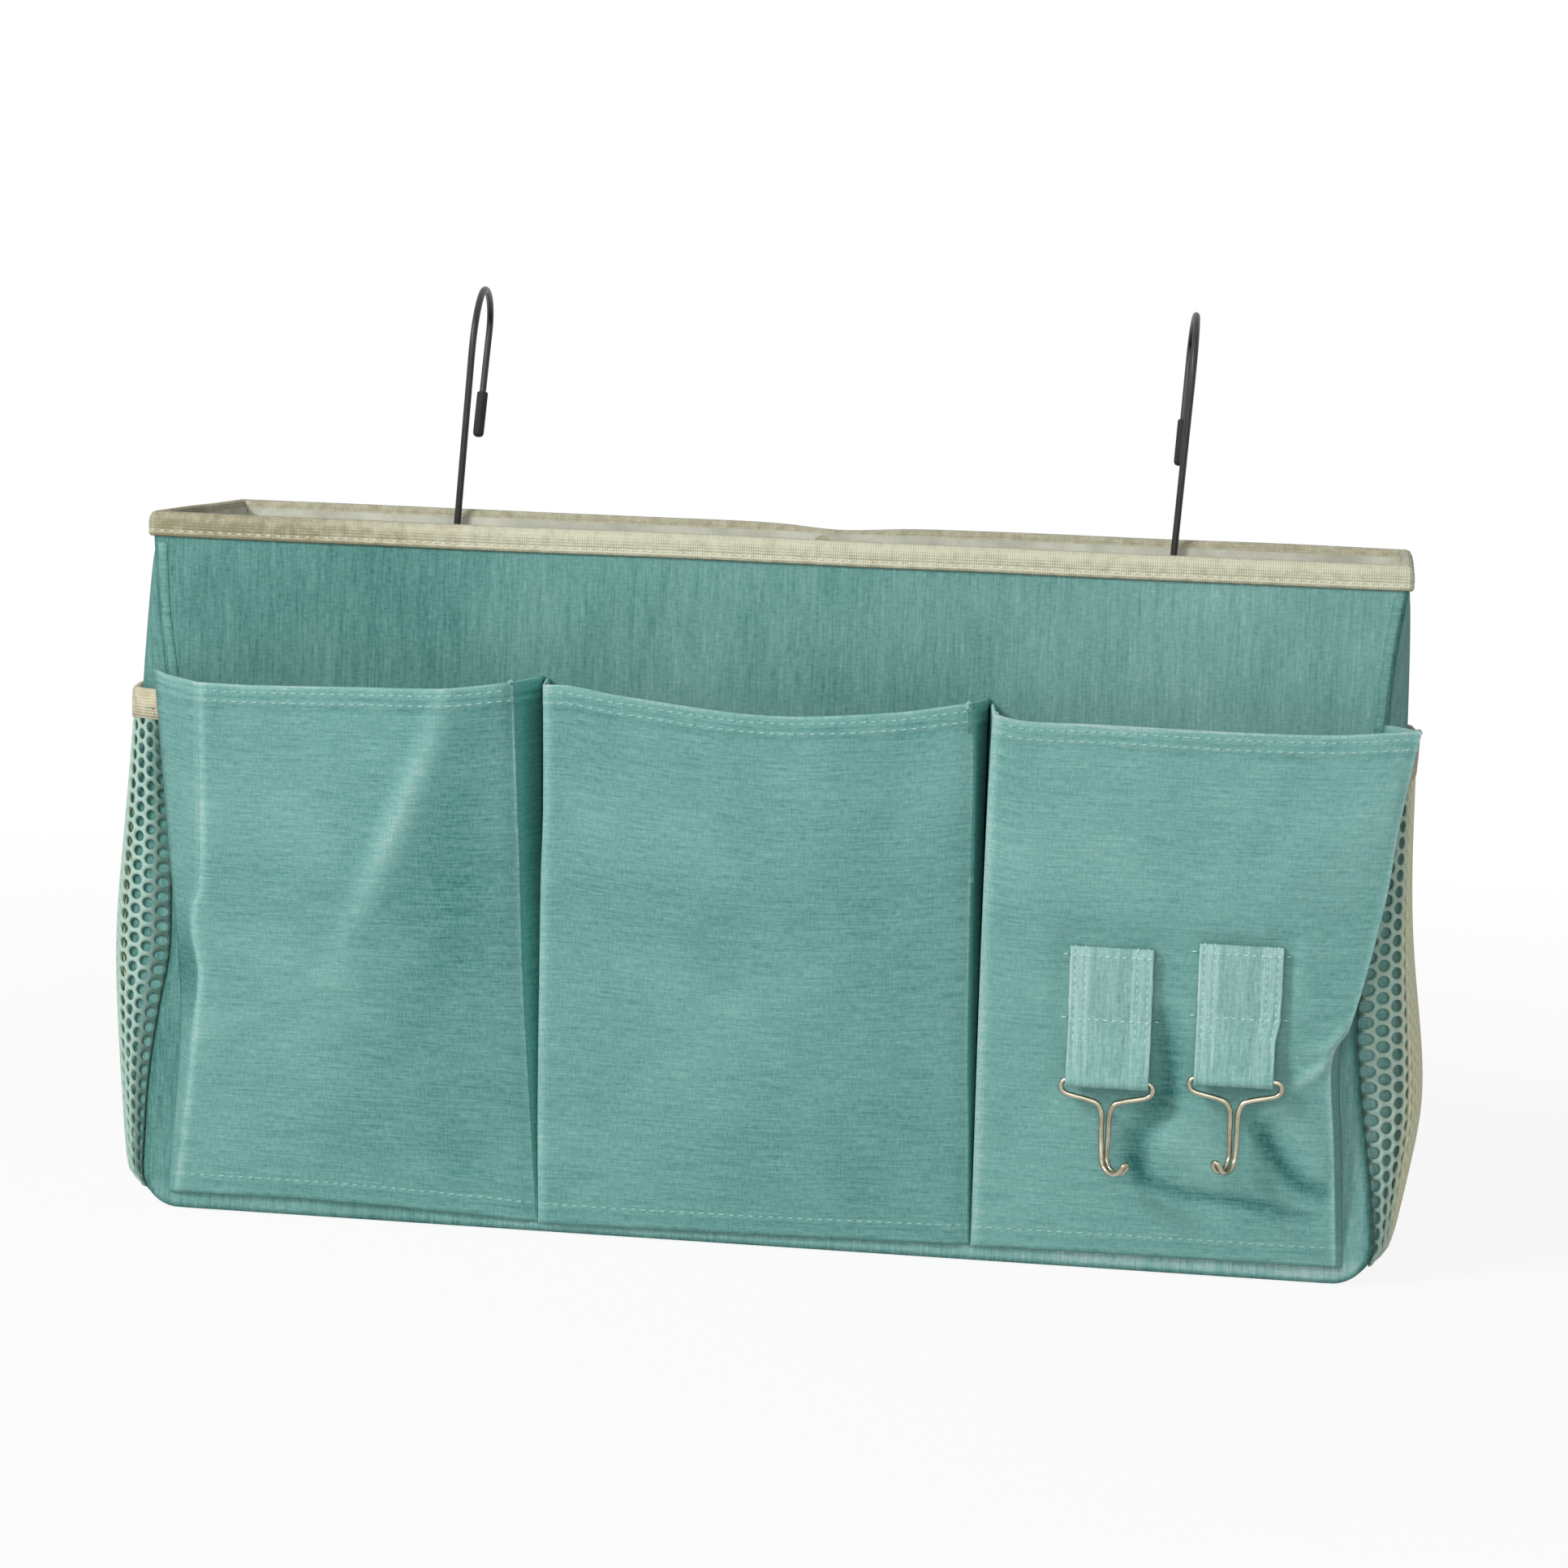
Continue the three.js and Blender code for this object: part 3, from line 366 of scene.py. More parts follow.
def wall_place(across, deep, high, in_x=0, in_y=0, in_z=0):
    """Place on the walls for a place on a cube from -1 to 1, with a layer set in from the outside."""
    sign = -1 if across < 0 else 1
    # The outermost fifth of the cube's width and the lowest part of its height make the round lower corners.
    flat_share, foot_share = 0.8, 0.12
    share, rise = abs(across), (high + 1) / 2
    x = share / flat_share * corner_start
    if share >= flat_share:
        x = corner_start + (share - flat_share) / (1 - flat_share) * corner_radius
    z = rise / foot_share * corner_radius
    if rise >= foot_share:
        z = corner_radius + (rise - foot_share) / (1 - foot_share) * (wall_top - corner_radius)
    length = corner_length + z - corner_radius
    if z < corner_radius and x > corner_start:
        run = (x - corner_start) / corner_radius
        drop = (corner_radius - z) / corner_radius
        reach = max(run, drop) / math.hypot(run, drop)
        length = corner_length * (1 - 2 / math.pi * math.atan2(drop, run))
        x = corner_start + run * reach * (corner_radius - in_x)
        z = corner_radius - drop * reach * (corner_radius - in_z)
    elif x > corner_start:
        x = corner_start + (x - corner_start) / corner_radius * (corner_radius - in_x)
    elif z < corner_radius:
        length = 0
        z = in_z + z / corner_radius * (corner_radius - in_z)
    y = deep * (half_depth - in_y)
    on_side = ease(0.9, 1, share) if high > -1 else 1
    draw = seam_draw(sign, z, deep)
    x += bowed(sign, length, y) * on_side * (abs(deep) < 1)
    x -= draw * (x / half_width) ** 2
    x *= sign
    if deep < 0:
        lean = 1.3 * ease(-70, -130, x) * ease(206, 180, z) * ease(100, 150, z)
        ripple = 0.5 * noise(Vector((x / 45, z / 70, 2.7))) * ease(212, 196, z) * ease(150, 176, z)
        y += (lean + ripple) * -deep
    else:
        y -= back_crease(x) * deep * ease(0, 120, z)
    return Vector((x, y, z))


def draw_walls(**layer):
    """Open-topped box of walls and base, drawn in from the cube's place by place."""
    wall_cuts, edge_share = 55, 0.999
    shape = bmesh.new()
    bmesh.ops.create_cube(shape, size=2)
    bmesh.ops.delete(shape, geom=[face for face in shape.faces if face.normal.z > 0.5], context="FACES")
    bmesh.ops.subdivide_edges(shape, edges=shape.edges[:], cuts=wall_cuts, use_grid_fill=True)
    shape.normal_update()
    weave = shape.loops.layers.uv.new("weave")
    wear_and_painted_light = shape.verts.layers.float.new("wear_and_painted_light")
    ways = {face: face.normal.copy() for face in shape.faces}
    for vert in shape.verts:
        across, deep, high = vert.co
        vert.co = wall_place(across, deep, high, **layer)
        x, _, z = vert.co
        # Painted shade darkens the front towards the left, where it bends; the front is paler towards the
        # right and along its foot.
        painted_shading_and_wear = 0.36 * ease(9, 5, z) - 0.22 * ease(-40, -120, x) + 0.26 * ease(40, 130, x)
        # The front corner seams are darker, partly their own colour and partly painted shade, and the front's
        # bottom edge has painted shade from the underside.
        if abs(deep) > edge_share and (abs(across) > edge_share or high < -edge_share):
            painted_shading_and_wear = -0.6 if high > -edge_share else -0.4
        vert[wear_and_painted_light] = painted_shading_and_wear * (1 - deep) / 2
    for face, way in ways.items():
        for loop in face.loops:
            x, y, z = loop.vert.co
            if abs(way.y) > 0.5:
                loop[weave].uv = (x, z)
            elif abs(way.x) > 0.5:
                loop[weave].uv = (y + 300, z)
            else:
                loop[weave].uv = (x, y - 100)
    return shape


teal_upright = slub_cloth("teal_cloth_upright", linear(82, 131, 125), linear(124, 169, 163),
                          slubs_along_v=True)
outer_cloth = finish_piece("outer_cloth", draw_walls(), teal_upright)
thicken(outer_cloth, 0.8)
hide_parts("front_panel", "back_panel", "left_side_panel", "right_side_panel", "base_panel")


# Boards: grey stiffeners cut to the front, back and base, shut in between the cloth and the lining.
# They keep the long walls straight, and the back one is scored in its middle so that the bag folds.
def board_finish():
    """Pressed grey board with short fibres."""
    board = bpy.data.materials.new("grey_board")
    board.use_nodes = True
    surface = board.node_tree.nodes["Principled BSDF"]
    surface.inputs["Roughness"].default_value = 0.9
    place = add_node(board, "ShaderNodeTexCoord")
    fibres = add_node(board, "ShaderNodeTexNoise", Scale=900.0, Detail=3.0)
    ramp = colour_ramp(board, (0, linear(128, 124, 114)), (1, linear(156, 152, 140)))
    join(board, place.outputs["Object"], fibres.inputs["Vector"])
    join(board, fibres.outputs["Fac"], ramp.inputs[0])
    join(board, ramp.outputs[0], surface.inputs["Base Color"])
    return board


grey_board = board_finish()


def draw_board(name, node, facing):
    """A board inside one wall, from the faces of the walls that look the same way."""
    shape = draw_walls(in_x=2.4, in_y=0.9, in_z=0.9)
    shape.normal_update()
    turned = [face for face in shape.faces if face.normal.dot(facing) < 0.97]
    bmesh.ops.delete(shape, geom=turned, context="FACES")
    board = finish_piece(name, shape, grey_board)
    thicken(board, 1.3)
    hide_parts(node)


draw_board("front_stiffener", "front_board", Vector((0, -1, 0)))
draw_board("back_stiffener", "back_board", Vector((0, 1, 0)))
draw_board("base_stiffener", "base_board", Vector((0, 0, -1)))


# Lining: one bag of pale grey non-woven cloth, dropped in and caught under the rim tape.
# Its fine bonded dimples catch the light, and it creases with the back wall.
lining_cloth = bpy.data.materials.new("grey_lining")
lining_cloth.use_nodes = True
lining_surface = lining_cloth.node_tree.nodes["Principled BSDF"]
lining_surface.inputs["Roughness"].default_value = 0.9
lining_surface.inputs["Sheen Weight"].default_value = 0.1
lining_place = add_node(lining_cloth, "ShaderNodeUVMap", uv_map="weave")
dimples = add_node(lining_cloth, "ShaderNodeTexVoronoi", voronoi_dimensions="2D", Scale=0.9)
fluff = add_node(lining_cloth, "ShaderNodeTexNoise", noise_dimensions="2D", Scale=0.08, Detail=4.0)
lining_ramp = colour_ramp(lining_cloth, (0.3, linear(172, 173, 157)), (0.7, linear(202, 203, 186)))
lining_bump = add_node(lining_cloth, "ShaderNodeBump", Strength=0.4, Distance=0.0003)
join(lining_cloth, lining_place.outputs[0], dimples.inputs["Vector"])
join(lining_cloth, lining_place.outputs[0], fluff.inputs["Vector"])
join(lining_cloth, fluff.outputs["Fac"], lining_ramp.inputs[0])
join(lining_cloth, lining_ramp.outputs[0], lining_surface.inputs["Base Color"])
join(lining_cloth, dimples.outputs["Distance"], lining_bump.inputs["Height"])
join(lining_cloth, lining_bump.outputs[0], lining_surface.inputs["Normal"])
inner_lining = finish_piece("inner_lining", draw_walls(in_x=2.6, in_y=2.4, in_z=2.4), lining_cloth)
thicken(inner_lining, 0.8)
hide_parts("front_lining", "back_lining", "left_side_lining", "right_side_lining",
            "base_lining")


# Rim tape: beige ribbed binding folded over the wall tops and sewn through all the layers.
# It goes round in one length and is stitched close to its lower edge.
def bound_tape(name, dark, light, rib_pitch):
    """Woven tape with fine ribs across its length, paler or darker by its wear_and_painted_light attribute,
    which holds painted shade on the rim tape. Its UV map is in millimetres.
    """
    tape = bpy.data.materials.new(name)
    tape.use_nodes = True
    surface = tape.node_tree.nodes["Principled BSDF"]
    surface.inputs["Roughness"].default_value = 0.8
    surface.inputs["Sheen Weight"].default_value = 0.1
    place = add_node(tape, "ShaderNodeUVMap", uv_map="weave")
    ribs = add_node(tape, "ShaderNodeTexWave", wave_type="BANDS", bands_direction="X",
                    Scale=band_scale / rib_pitch)
    rows = add_node(tape, "ShaderNodeTexWave", wave_type="BANDS", bands_direction="Y", Scale=band_scale / 0.9)
    mottle = add_node(tape, "ShaderNodeTexNoise", noise_dimensions="2D", Scale=0.25, Detail=4.0,
                      Roughness=0.7)
    wear_and_painted_light = add_node(tape, "ShaderNodeAttribute", attribute_name="wear_and_painted_light")
    tone_with_painted_light = add_node(tape, "ShaderNodeMath", operation="ADD")
    height = add_node(tape, "ShaderNodeMath", operation="ADD")
    tone = add_node(tape, "ShaderNodeMath", operation="MULTIPLY_ADD")
    tone.inputs[1].default_value = 0.12
    deepest = [dark[0] * 0.62, dark[1] * 0.6, dark[2] * 0.5, 1]
    ramp = colour_ramp(tape, (0, deepest), (0.75, light), (0.35, dark))
    bump = add_node(tape, "ShaderNodeBump", Strength=0.5, Distance=0.0003)
    for texture in (ribs, rows, mottle):
        join(tape, place.outputs[0], texture.inputs["Vector"])
    join(tape, ribs.outputs["Fac"], height.inputs[0])
    join(tape, rows.outputs["Fac"], height.inputs[1])
    join(tape, height.outputs[0], tone.inputs[0])
    join(tape, mottle.outputs["Fac"], tone.inputs[2])
    join(tape, tone.outputs[0], tone_with_painted_light.inputs[0])
    join(tape, wear_and_painted_light.outputs["Fac"], tone_with_painted_light.inputs[1])
    join(tape, tone_with_painted_light.outputs[0], ramp.inputs[0])
    join(tape, ramp.outputs[0], surface.inputs["Base Color"])
    join(tape, height.outputs[0], bump.inputs["Height"])
    join(tape, bump.outputs[0], surface.inputs["Normal"])
    return tape


def draw_strip(places, closed=False, worn_and_painted_light=None, pleat_light_rows=None):
    """A cloth strip from rows of places, with its wear and painted light and its painted pleat light if they
    are given.

    Its weave is measured along the middle row and up the middle column, in millimetres.
    """
    rows, columns = len(places) - 1, len(places[0]) - 1
    shape = bmesh.new()
    weave = shape.loops.layers.uv.new("weave")
    wear_and_painted_light = shape.verts.layers.float.new("wear_and_painted_light")
    painted_pleat_light = shape.verts.layers.float.new("painted_pleat_light")
    bmesh.ops.create_grid(shape, x_segments=columns, y_segments=rows, size=0.5)
    spots = {}
    for vert in shape.verts:
        spots[vert] = (round((vert.co.x + 0.5) * columns), round((vert.co.y + 0.5) * rows))
    middle = len(places) // 2
    along = [0]
    for a, b in zip(places[middle], places[middle][1:]):
        along.append(along[-1] + (b - a).length)
    up = [0]
    for a, b in zip(places, places[1:]):
        up.append(up[-1] + (b[columns // 2] - a[columns // 2]).length)
    for vert, (column, row) in spots.items():
        vert.co = places[row][column]
        vert[wear_and_painted_light] = worn_and_painted_light[row][column] if worn_and_painted_light else 0
        vert[painted_pleat_light] = pleat_light_rows[row][column] if pleat_light_rows else 0
    for face in shape.faces:
        for loop in face.loops:
            column, row = spots[loop.vert]
            loop[weave].uv = (along[column] - along[-1] / 2, up[row])
    if closed:
        bmesh.ops.remove_doubles(shape, verts=shape.verts, dist=0.001)
    return shape


def rim_path(spacing):
    """Places round the rim on the outside of the tape, from corner to corner, each with its outward way."""
    half_x, half_y, radius = 190, 51, 2.2
    corners = ((1, -1, -90), (1, 1, 0), (-1, 1, 90), (-1, -1, 180))
    loop = []
    for i, (side_x, side_y, start) in enumerate(corners):
        centre = Vector((side_x * (half_x - radius), side_y * (half_y - radius)))
        for step in range(7):
            angle = math.radians(start + 15 * step)
            way = Vector((math.cos(angle), math.sin(angle)))
            loop.append((centre + way * radius, way))
        next_x, next_y, _ = corners[(i + 1) % 4]
        way = loop[-1][1]
        end = Vector((next_x * (half_x - radius), next_y * (half_y - radius))) + way * radius
        begin = loop[-1][0].copy()
        steps = round((end - begin).length / spacing)
        loop += [(begin.lerp(end, k / steps), way) for k in range(1, steps)]
    loop.append(loop[0])
    return loop


def rim_height(x, y):
    """How far the rim dips from level."""
    back_dip = 1.4 * math.exp(-((x - 10) / 16) ** 2) * ease(0, 40, y)
    return 0.35 * noise(Vector((x / 60, y / 60, 8.1))) - back_dip


def plain_finish(name, dark, light, roughness, scale, metallic=0.0, strength=0.2):
    """A finish with a fine mottle of two colours and a fine bump, placed in metres."""
    finish = bpy.data.materials.new(name)
    finish.use_nodes = True
    surface = finish.node_tree.nodes["Principled BSDF"]
    surface.inputs["Metallic"].default_value = metallic
    place = add_node(finish, "ShaderNodeTexCoord")
    mottle = add_node(finish, "ShaderNodeTexNoise", Scale=scale, Detail=3.0)
    ramp = colour_ramp(finish, (0.3, dark), (0.7, light))
    gloss = add_node(finish, "ShaderNodeMapRange", To_Min=roughness - 0.07, To_Max=roughness + 0.07)
    bump = add_node(finish, "ShaderNodeBump", Strength=strength, Distance=0.0001)
    join(finish, place.outputs["Object"], mottle.inputs["Vector"])
    join(finish, mottle.outputs["Fac"], ramp.inputs[0])
    join(finish, mottle.outputs["Fac"], gloss.inputs["Value"])
    join(finish, mottle.outputs["Fac"], bump.inputs["Height"])
    join(finish, ramp.outputs[0], surface.inputs["Base Color"])
    join(finish, gloss.outputs[0], surface.inputs["Roughness"])
    join(finish, bump.outputs[0], surface.inputs["Normal"])
    return finish


def sew(name, runs, thread, stitch=2.1, pitch=3.0, half_thread=0.24):
    """Lock stitches along runs of places with their outward ways: short threads half sunk in the cloth."""
    shape = bmesh.new()
    for run in runs:
        travelled, due = 0.0, 0.5 * pitch
        for (start, out), (end, _) in zip(run, run[1:]):
            step = (end - start).length
            while due < travelled + step:
                along = (end - start).normalized()
                across = out.cross(along).normalized()
                axes = Matrix((along * stitch / 2, across * half_thread, along.cross(across) * half_thread))
                place = Matrix.Translation(start.lerp(end, (due - travelled) / step))
                bmesh.ops.create_icosphere(shape, subdivisions=1, radius=1,
                                           matrix=place @ axes.transposed().to_4x4())
                due += pitch
            travelled += step
    stitches = finish_piece(name, shape, thread)


# The tape's section: how far inward and how high, from its outer hem over the top to its inner hem.
tape_section = [(0.55, 206.2), (0.1, 206.7), (0, 207.3), (0.22, 207.9), (0, 208.6), (0, 210.6), (0.25, 212),
                (0.9, 213.2), (2.15, 213.75), (3.4, 213.2), (4.0, 212), (4.2, 210.6), (4.2, 208.6),
                (4.2, 207.4), (4.1, 206.4)]
rim_spots = rim_path(3)
rim_rows = []
for inward, height in tape_section:
    row = []
    for spot, way in rim_spots:
        place = spot - way * inward
        y = place.y - back_crease(place.x) * (place.y > 0)
        wave = 0.25 * noise(Vector((place.x / 7, place.y / 7, height / 4))) * (inward < 0.5)
        row.append(Vector((place.x + way.x * wave, y + way.y * wave, height + rim_height(place.x, place.y))))
    rim_rows.append(row)
beige_tape = bound_tape("beige_tape", linear(178, 174, 148), linear(206, 205, 180), 0.7)
# Painted shade lies along the tape's lower edge, towards the left on the front and all along the back; its
# stitched rows and its top are paler.
rim_edge_tone_and_shade = [-0.3, -0.3, 0.14, 0.14, -0.03, -0.03, 0.1, 0.1, 0.1, 0, 0, 0, 0, 0, 0]
rim_tone_and_shade = [[edge - (0.55 * ease(-60, -170, place.x) if place.y < 0 else 0.24) for place in row]
            for edge, row in zip(rim_edge_tone_and_shade, rim_rows)]
rim_binding = finish_piece("rim_binding", draw_strip(rim_rows, closed=True, worn_and_painted_light=rim_tone_and_shade), beige_tape)
thicken(rim_binding, 0.7)
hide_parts("rim_tape")
beige_thread = plain_finish("beige_thread", linear(196, 192, 166), linear(222, 220, 200), 0.7, 900.0)
seam_row = rim_rows[3]
rim_run = [(place, Vector((way.x, way.y, 0))) for place, (_, way) in zip(seam_row, rim_spots)]
sew("rim_stitches", [rim_run], beige_thread)


# Corner welts: the folded allowances of the two front corner seams, turned to the front and stitched flat.
# Below the pockets' mouths they are trimmed, and above them each shows as a narrow raised band.
for side, sign in (("left", -1), ("right", 1)):
    rows = []
    for inward, stand in ((0.9, 0), (1.1, 0.2), (1.8, 0.34), (2.8, 0.34), (3.7, 0.2), (4.0, 0)):
        across = sign * (1 - 0.2 * inward / corner_radius)
        row = [wall_place(across, -1, 0.4 + 0.54 * k / 30) - Vector((0, stand, 0)) for k in range(31)]
        rows.append(row if sign > 0 else row[::-1])
    # Painted light on each welt's raised middle and painted shade along its sides.
    welt_painted_light = [[0.1 if i in (2, 3) else -0.15 for _ in row] for i, row in enumerate(rows)]
    welt = finish_piece(f"{side}_corner_welt", draw_strip(rows, worn_and_painted_light=welt_painted_light), teal_upright)
    thicken(welt, 0.3)


# Front pockets: one strip of the same cloth, its slubs running across, pleated into three wedges.
# Each is sewn down at its pleats and along the bottom, and its top edge is turned in and hemmed.
pocket_bottom = 6
pocket_top = 168
seat_y = -50.15
# Across the wall at heights: left seam, left edge of the front, right edge of the front, right seam.
pocket_edges = {
    "left": (
        smooth_through((6, -179.1), (64, -176.6), (110, -181), (168, -187.2)),
        smooth_through((6, -177.4), (28, -174), (59, -170.3), (77, -168.1), (90, -169.9), (98, -169.7),
                       (104, -167.6), (125, -166.7), (168, -166.2)),
        smooth_through((6, -64.1), (40, -65.8), (81, -68), (118, -68.9), (130, -69.4), (168, -70.6)),
        smooth_through((6, -63), (64, -63.6), (168, -66.1)),
    ),
    "middle": (
        smooth_through((6, -62.9), (64, -63.4), (168, -66)),
        smooth_through((6, -63.3), (40, -63.4), (81, -62.8), (111, -62.3), (131, -61.6), (168, -61.6)),
        smooth_through((6, 67.8), (39, 67.3), (64, 66.4), (113, 66), (147, 65.9), (162, 65.4), (168, 64.8)),
        smooth_through((6, 68.5), (64, 68.3), (168, 67.9)),
    ),
    "right": (
        smooth_through((6, 68.6), (64, 68.4), (168, 68)),
        smooth_through((6, 68.8), (19, 69), (64, 69.2), (114, 69.7), (148, 70.4), (168, 71.1)),
        smooth_through((6, 177.4), (26, 176.2), (46, 174.9), (66, 173.2), (73, 174), (80, 178.2),
                       (117, 186.4), (141, 189.5), (168, 194.2)),
        smooth_through((6, 179.3), (40, 177.6), (70, 175.6), (110, 179.3), (168, 184.6)),
    ),
}
pocket_mouths = {
    "left": smooth_through((-188, 165.5), (-181, 164.7), (-166, 164.5), (-149, 164.4), (-120, 165.3),
                           (-90, 166.5), (-71.6, 169), (-66, 169.1)),
    "middle": smooth_through((-66, 168.6), (-61.3, 168.8), (-54, 169), (-39, 166.8), (4.2, 162.9),
                             (42, 165.6), (64.3, 169.4), (68, 169)),
    "right": smooth_through((68, 167.6), (70.8, 166.9), (79.9, 165.1), (98.7, 165.1), (163.8, 165.1),
                            (194, 167.8)),
}
pocket_foot = smooth_through((-180, 5.1), (-130, 5.3), (-79, 3.7), (-63.6, 2.8), (-4, 3.4), (68, 4.6),
                             (118, 5), (180, 5.2))
pocket_bellies = {"left": 0.6, "middle": 2.0, "right": 0.8}
edge_falls = {"left": 1.1, "middle": 1.1, "right": 0.2}
# How strong the painted highlight on each pocket's right edge is.
edge_highlights = {"left": 0.1, "middle": 0.1, "right": 0.5}
pocket_tones = {"left": 0.0, "middle": -0.02, "right": 0.12}
# Each fold: points across, up and with their share of its height; its reach, height, roundness and painted
# shading, which is a painted highlight where positive and painted shade where negative.
pocket_folds = {
    "left": [
        ([(-91, 166, 1), (-110, 116, 1), (-127, 80, 0.8), (-154, 60, 0.5)], 40, 2.6, 2.5, 0),
        ([(-91, 166, 0.5), (-95, 152, 0.9), (-108, 121, 1), (-118, 98, 0.4), (-127, 78, 0.15)],
         7.6, 1.5, 1.6, 1.0),
        # A low fold that mostly paints shade on the right part of the left pocket.
        ([(-84, 150, 0.8), (-90, 100, 1), (-97, 60, 0.6), (-100, 35, 0.3)], 38, 0.3, 6, -0.42),
        ([(-172, 58, 1), (-149, 64, 0.3)], 8, 1.0, 2, 0.4),
        ([(-170, 70, 0.6), (-169, 50, 1), (-172, 30, 0)], 16, 1.2, 4, 0.25),
        ([(-168, 126, 1), (-164, 84, 1)], 9, 0.9, 2, 0.1),
        ([(-88, 40, 1), (-150, 22, 1)], 18, 0.8, 6, 0),
    ],
    "middle": [
        ([(-40, 166, 1), (-18, 70, 1)], 30, 1.0, 8, 0),
        ([(30, 166, 1), (22, 90, 1)], 26, 0.9, 8, 0),
        ([(-50, 30, 1), (40, 24, 1)], 16, 0.6, 6, 0),
    ],
    "right": [
        ([(186, 150, 1), (146, 112, 1)], 22, 1.5, 4, 0.12),
        ([(152, 138, 1), (142, 104, 1), (124, 94, 0.6)], 9, -0.8, 3, -0.12),
        ([(165, 106, 0.8), (161, 98, 1), (164, 85, 1)], 7, 0.9, 2, 0.25),
        ([(177, 79, 1), (173.9, 70.5, 1), (166.7, 64.7, 1), (157, 59.5, 0.2)], 3.6, 1.9, 0.6, 0.75),
        ([(176.4, 76, 1), (165, 72, 0.2)], 3.2, 1.3, 0.5, 0.55),
        # The hollow right of the left strap holds the strap's painted shadow, and the creases below it hold
        # painted shade.
        ([(123, 80, 0.8), (125.5, 70, 1), (126.5, 60, 1), (121, 49, 0.9), (117, 42, 0.8), (117, 34, 0.6)],
         8, -3.2, 1.5, -1.0),
        ([(116.5, 36, 0.7), (119.5, 29.8, 1), (130.2, 26.5, 1), (141.8, 25.1, 1), (153.3, 23.8, 1),
          (170, 20.6, 0.5)], 3.4, -1.9, 0.5, -0.8),
        ([(128, 43, 1), (142, 35, 0.8)], 13, 2.6, 4, 0.55),
        ([(151, 53, 0.5), (156, 42.5, 1), (162.4, 34.5, 1), (167.3, 30, 1), (175, 28.3, 0.6)],
         4.8, -2.4, 0.6, -0.95),
        ([(160, 54, 1), (171, 38, 0.8)], 8, 1.6, 2, 0.45),
        ([(82, 150, 1), (90, 90, 1)], 20, 1.0, 5, 0),
    ],
}
foot_seam, lower_hem_seam, upper_hem_seam = 12, 163, 166
pocket_seams = (foot_seam, lower_hem_seam, upper_hem_seam)
pocket_rows = [6, 7.2, 8.6, 10, 11.3, foot_seam, 12.7, 14] + [15.6 + 1.6 * k for k in range(91)]
pocket_rows += [161.2, 162.1, 162.5, lower_hem_seam, 163.5, 164.5, 165.5, upper_hem_seam, 166.5, 167.4,
                pocket_top]
# The hem's turn beyond the top row: how far up or down, and how far inward.
hem_turn = [(0.35, 0.5), (0.1, 1.1), (-1.5, 1.4), (-5, 1.4), (-8, 1.35)]


def face_y(z):
    """How far forward the pockets' fronts stand at a height."""
    return -51.5 - 25.5 * (z - pocket_bottom) / (pocket_top - pocket_bottom)


def ridge(x, z, points, reach, roundness):
    """Share of a fold's height: each point's own share on the line through the points, and 0 at its reach."""
    most = 0
    for (x_start, z_start, start), (x_end, z_end, end) in zip(points, points[1:]):
        run, rise = x_end - x_start, z_end - z_start
        t = min(max(((x - x_start) * run + (z - z_start) * rise) / (run * run + rise * rise), 0), 1)
        away = math.hypot(x - x_start - run * t, z - z_start - rise * t, roundness)
        most = max(most, (start + (end - start) * t) * max(0, 1 - away / reach) ** 1.4)
    return most


def round_corner(before, corner, after, turn):
    """A corner's path, rounded from a length before it to as far after it."""
    start = corner + (before - corner).normalized() * turn
    end = corner + (after - corner).normalized() * turn
    return [start.lerp(corner, t).lerp(corner.lerp(end, t), t) for t in (0, 0.25, 0.5, 0.75, 1)]


def pocket_path(side, z):
    """A pocket's way at a height, seen from above, and where its front starts and ends."""
    seam_left, face_left, face_right, seam_right = (edge(z) for edge in pocket_edges[side])
    front = face_y(z)
    corners = [Vector((seam_left, seat_y)), Vector((face_left, front)), Vector((face_right, front)),
               Vector((seam_right, seat_y))]
    turn = min(0.55, 0.45 * (corners[1] - corners[0]).length, 0.45 * (corners[3] - corners[2]).length)
    left_turn = round_corner(*corners[0:3], turn)
    right_turn = round_corner(*corners[1:4], turn)
    path = [corners[0].lerp(left_turn[0], k / pleat_steps) for k in range(pleat_steps)] + left_turn
    path += [left_turn[-1].lerp(right_turn[0], t) for t in face_shares]
    path += right_turn
    path += [right_turn[-1].lerp(corners[3], k / pleat_steps) for k in range(1, pleat_steps + 1)]
    return path, face_left, face_right


def bump_at(value, middle, reach):
    """1 at the middle, falling to almost 0 at twice the reach."""
    return math.exp(-((value - middle) / reach) ** 2)


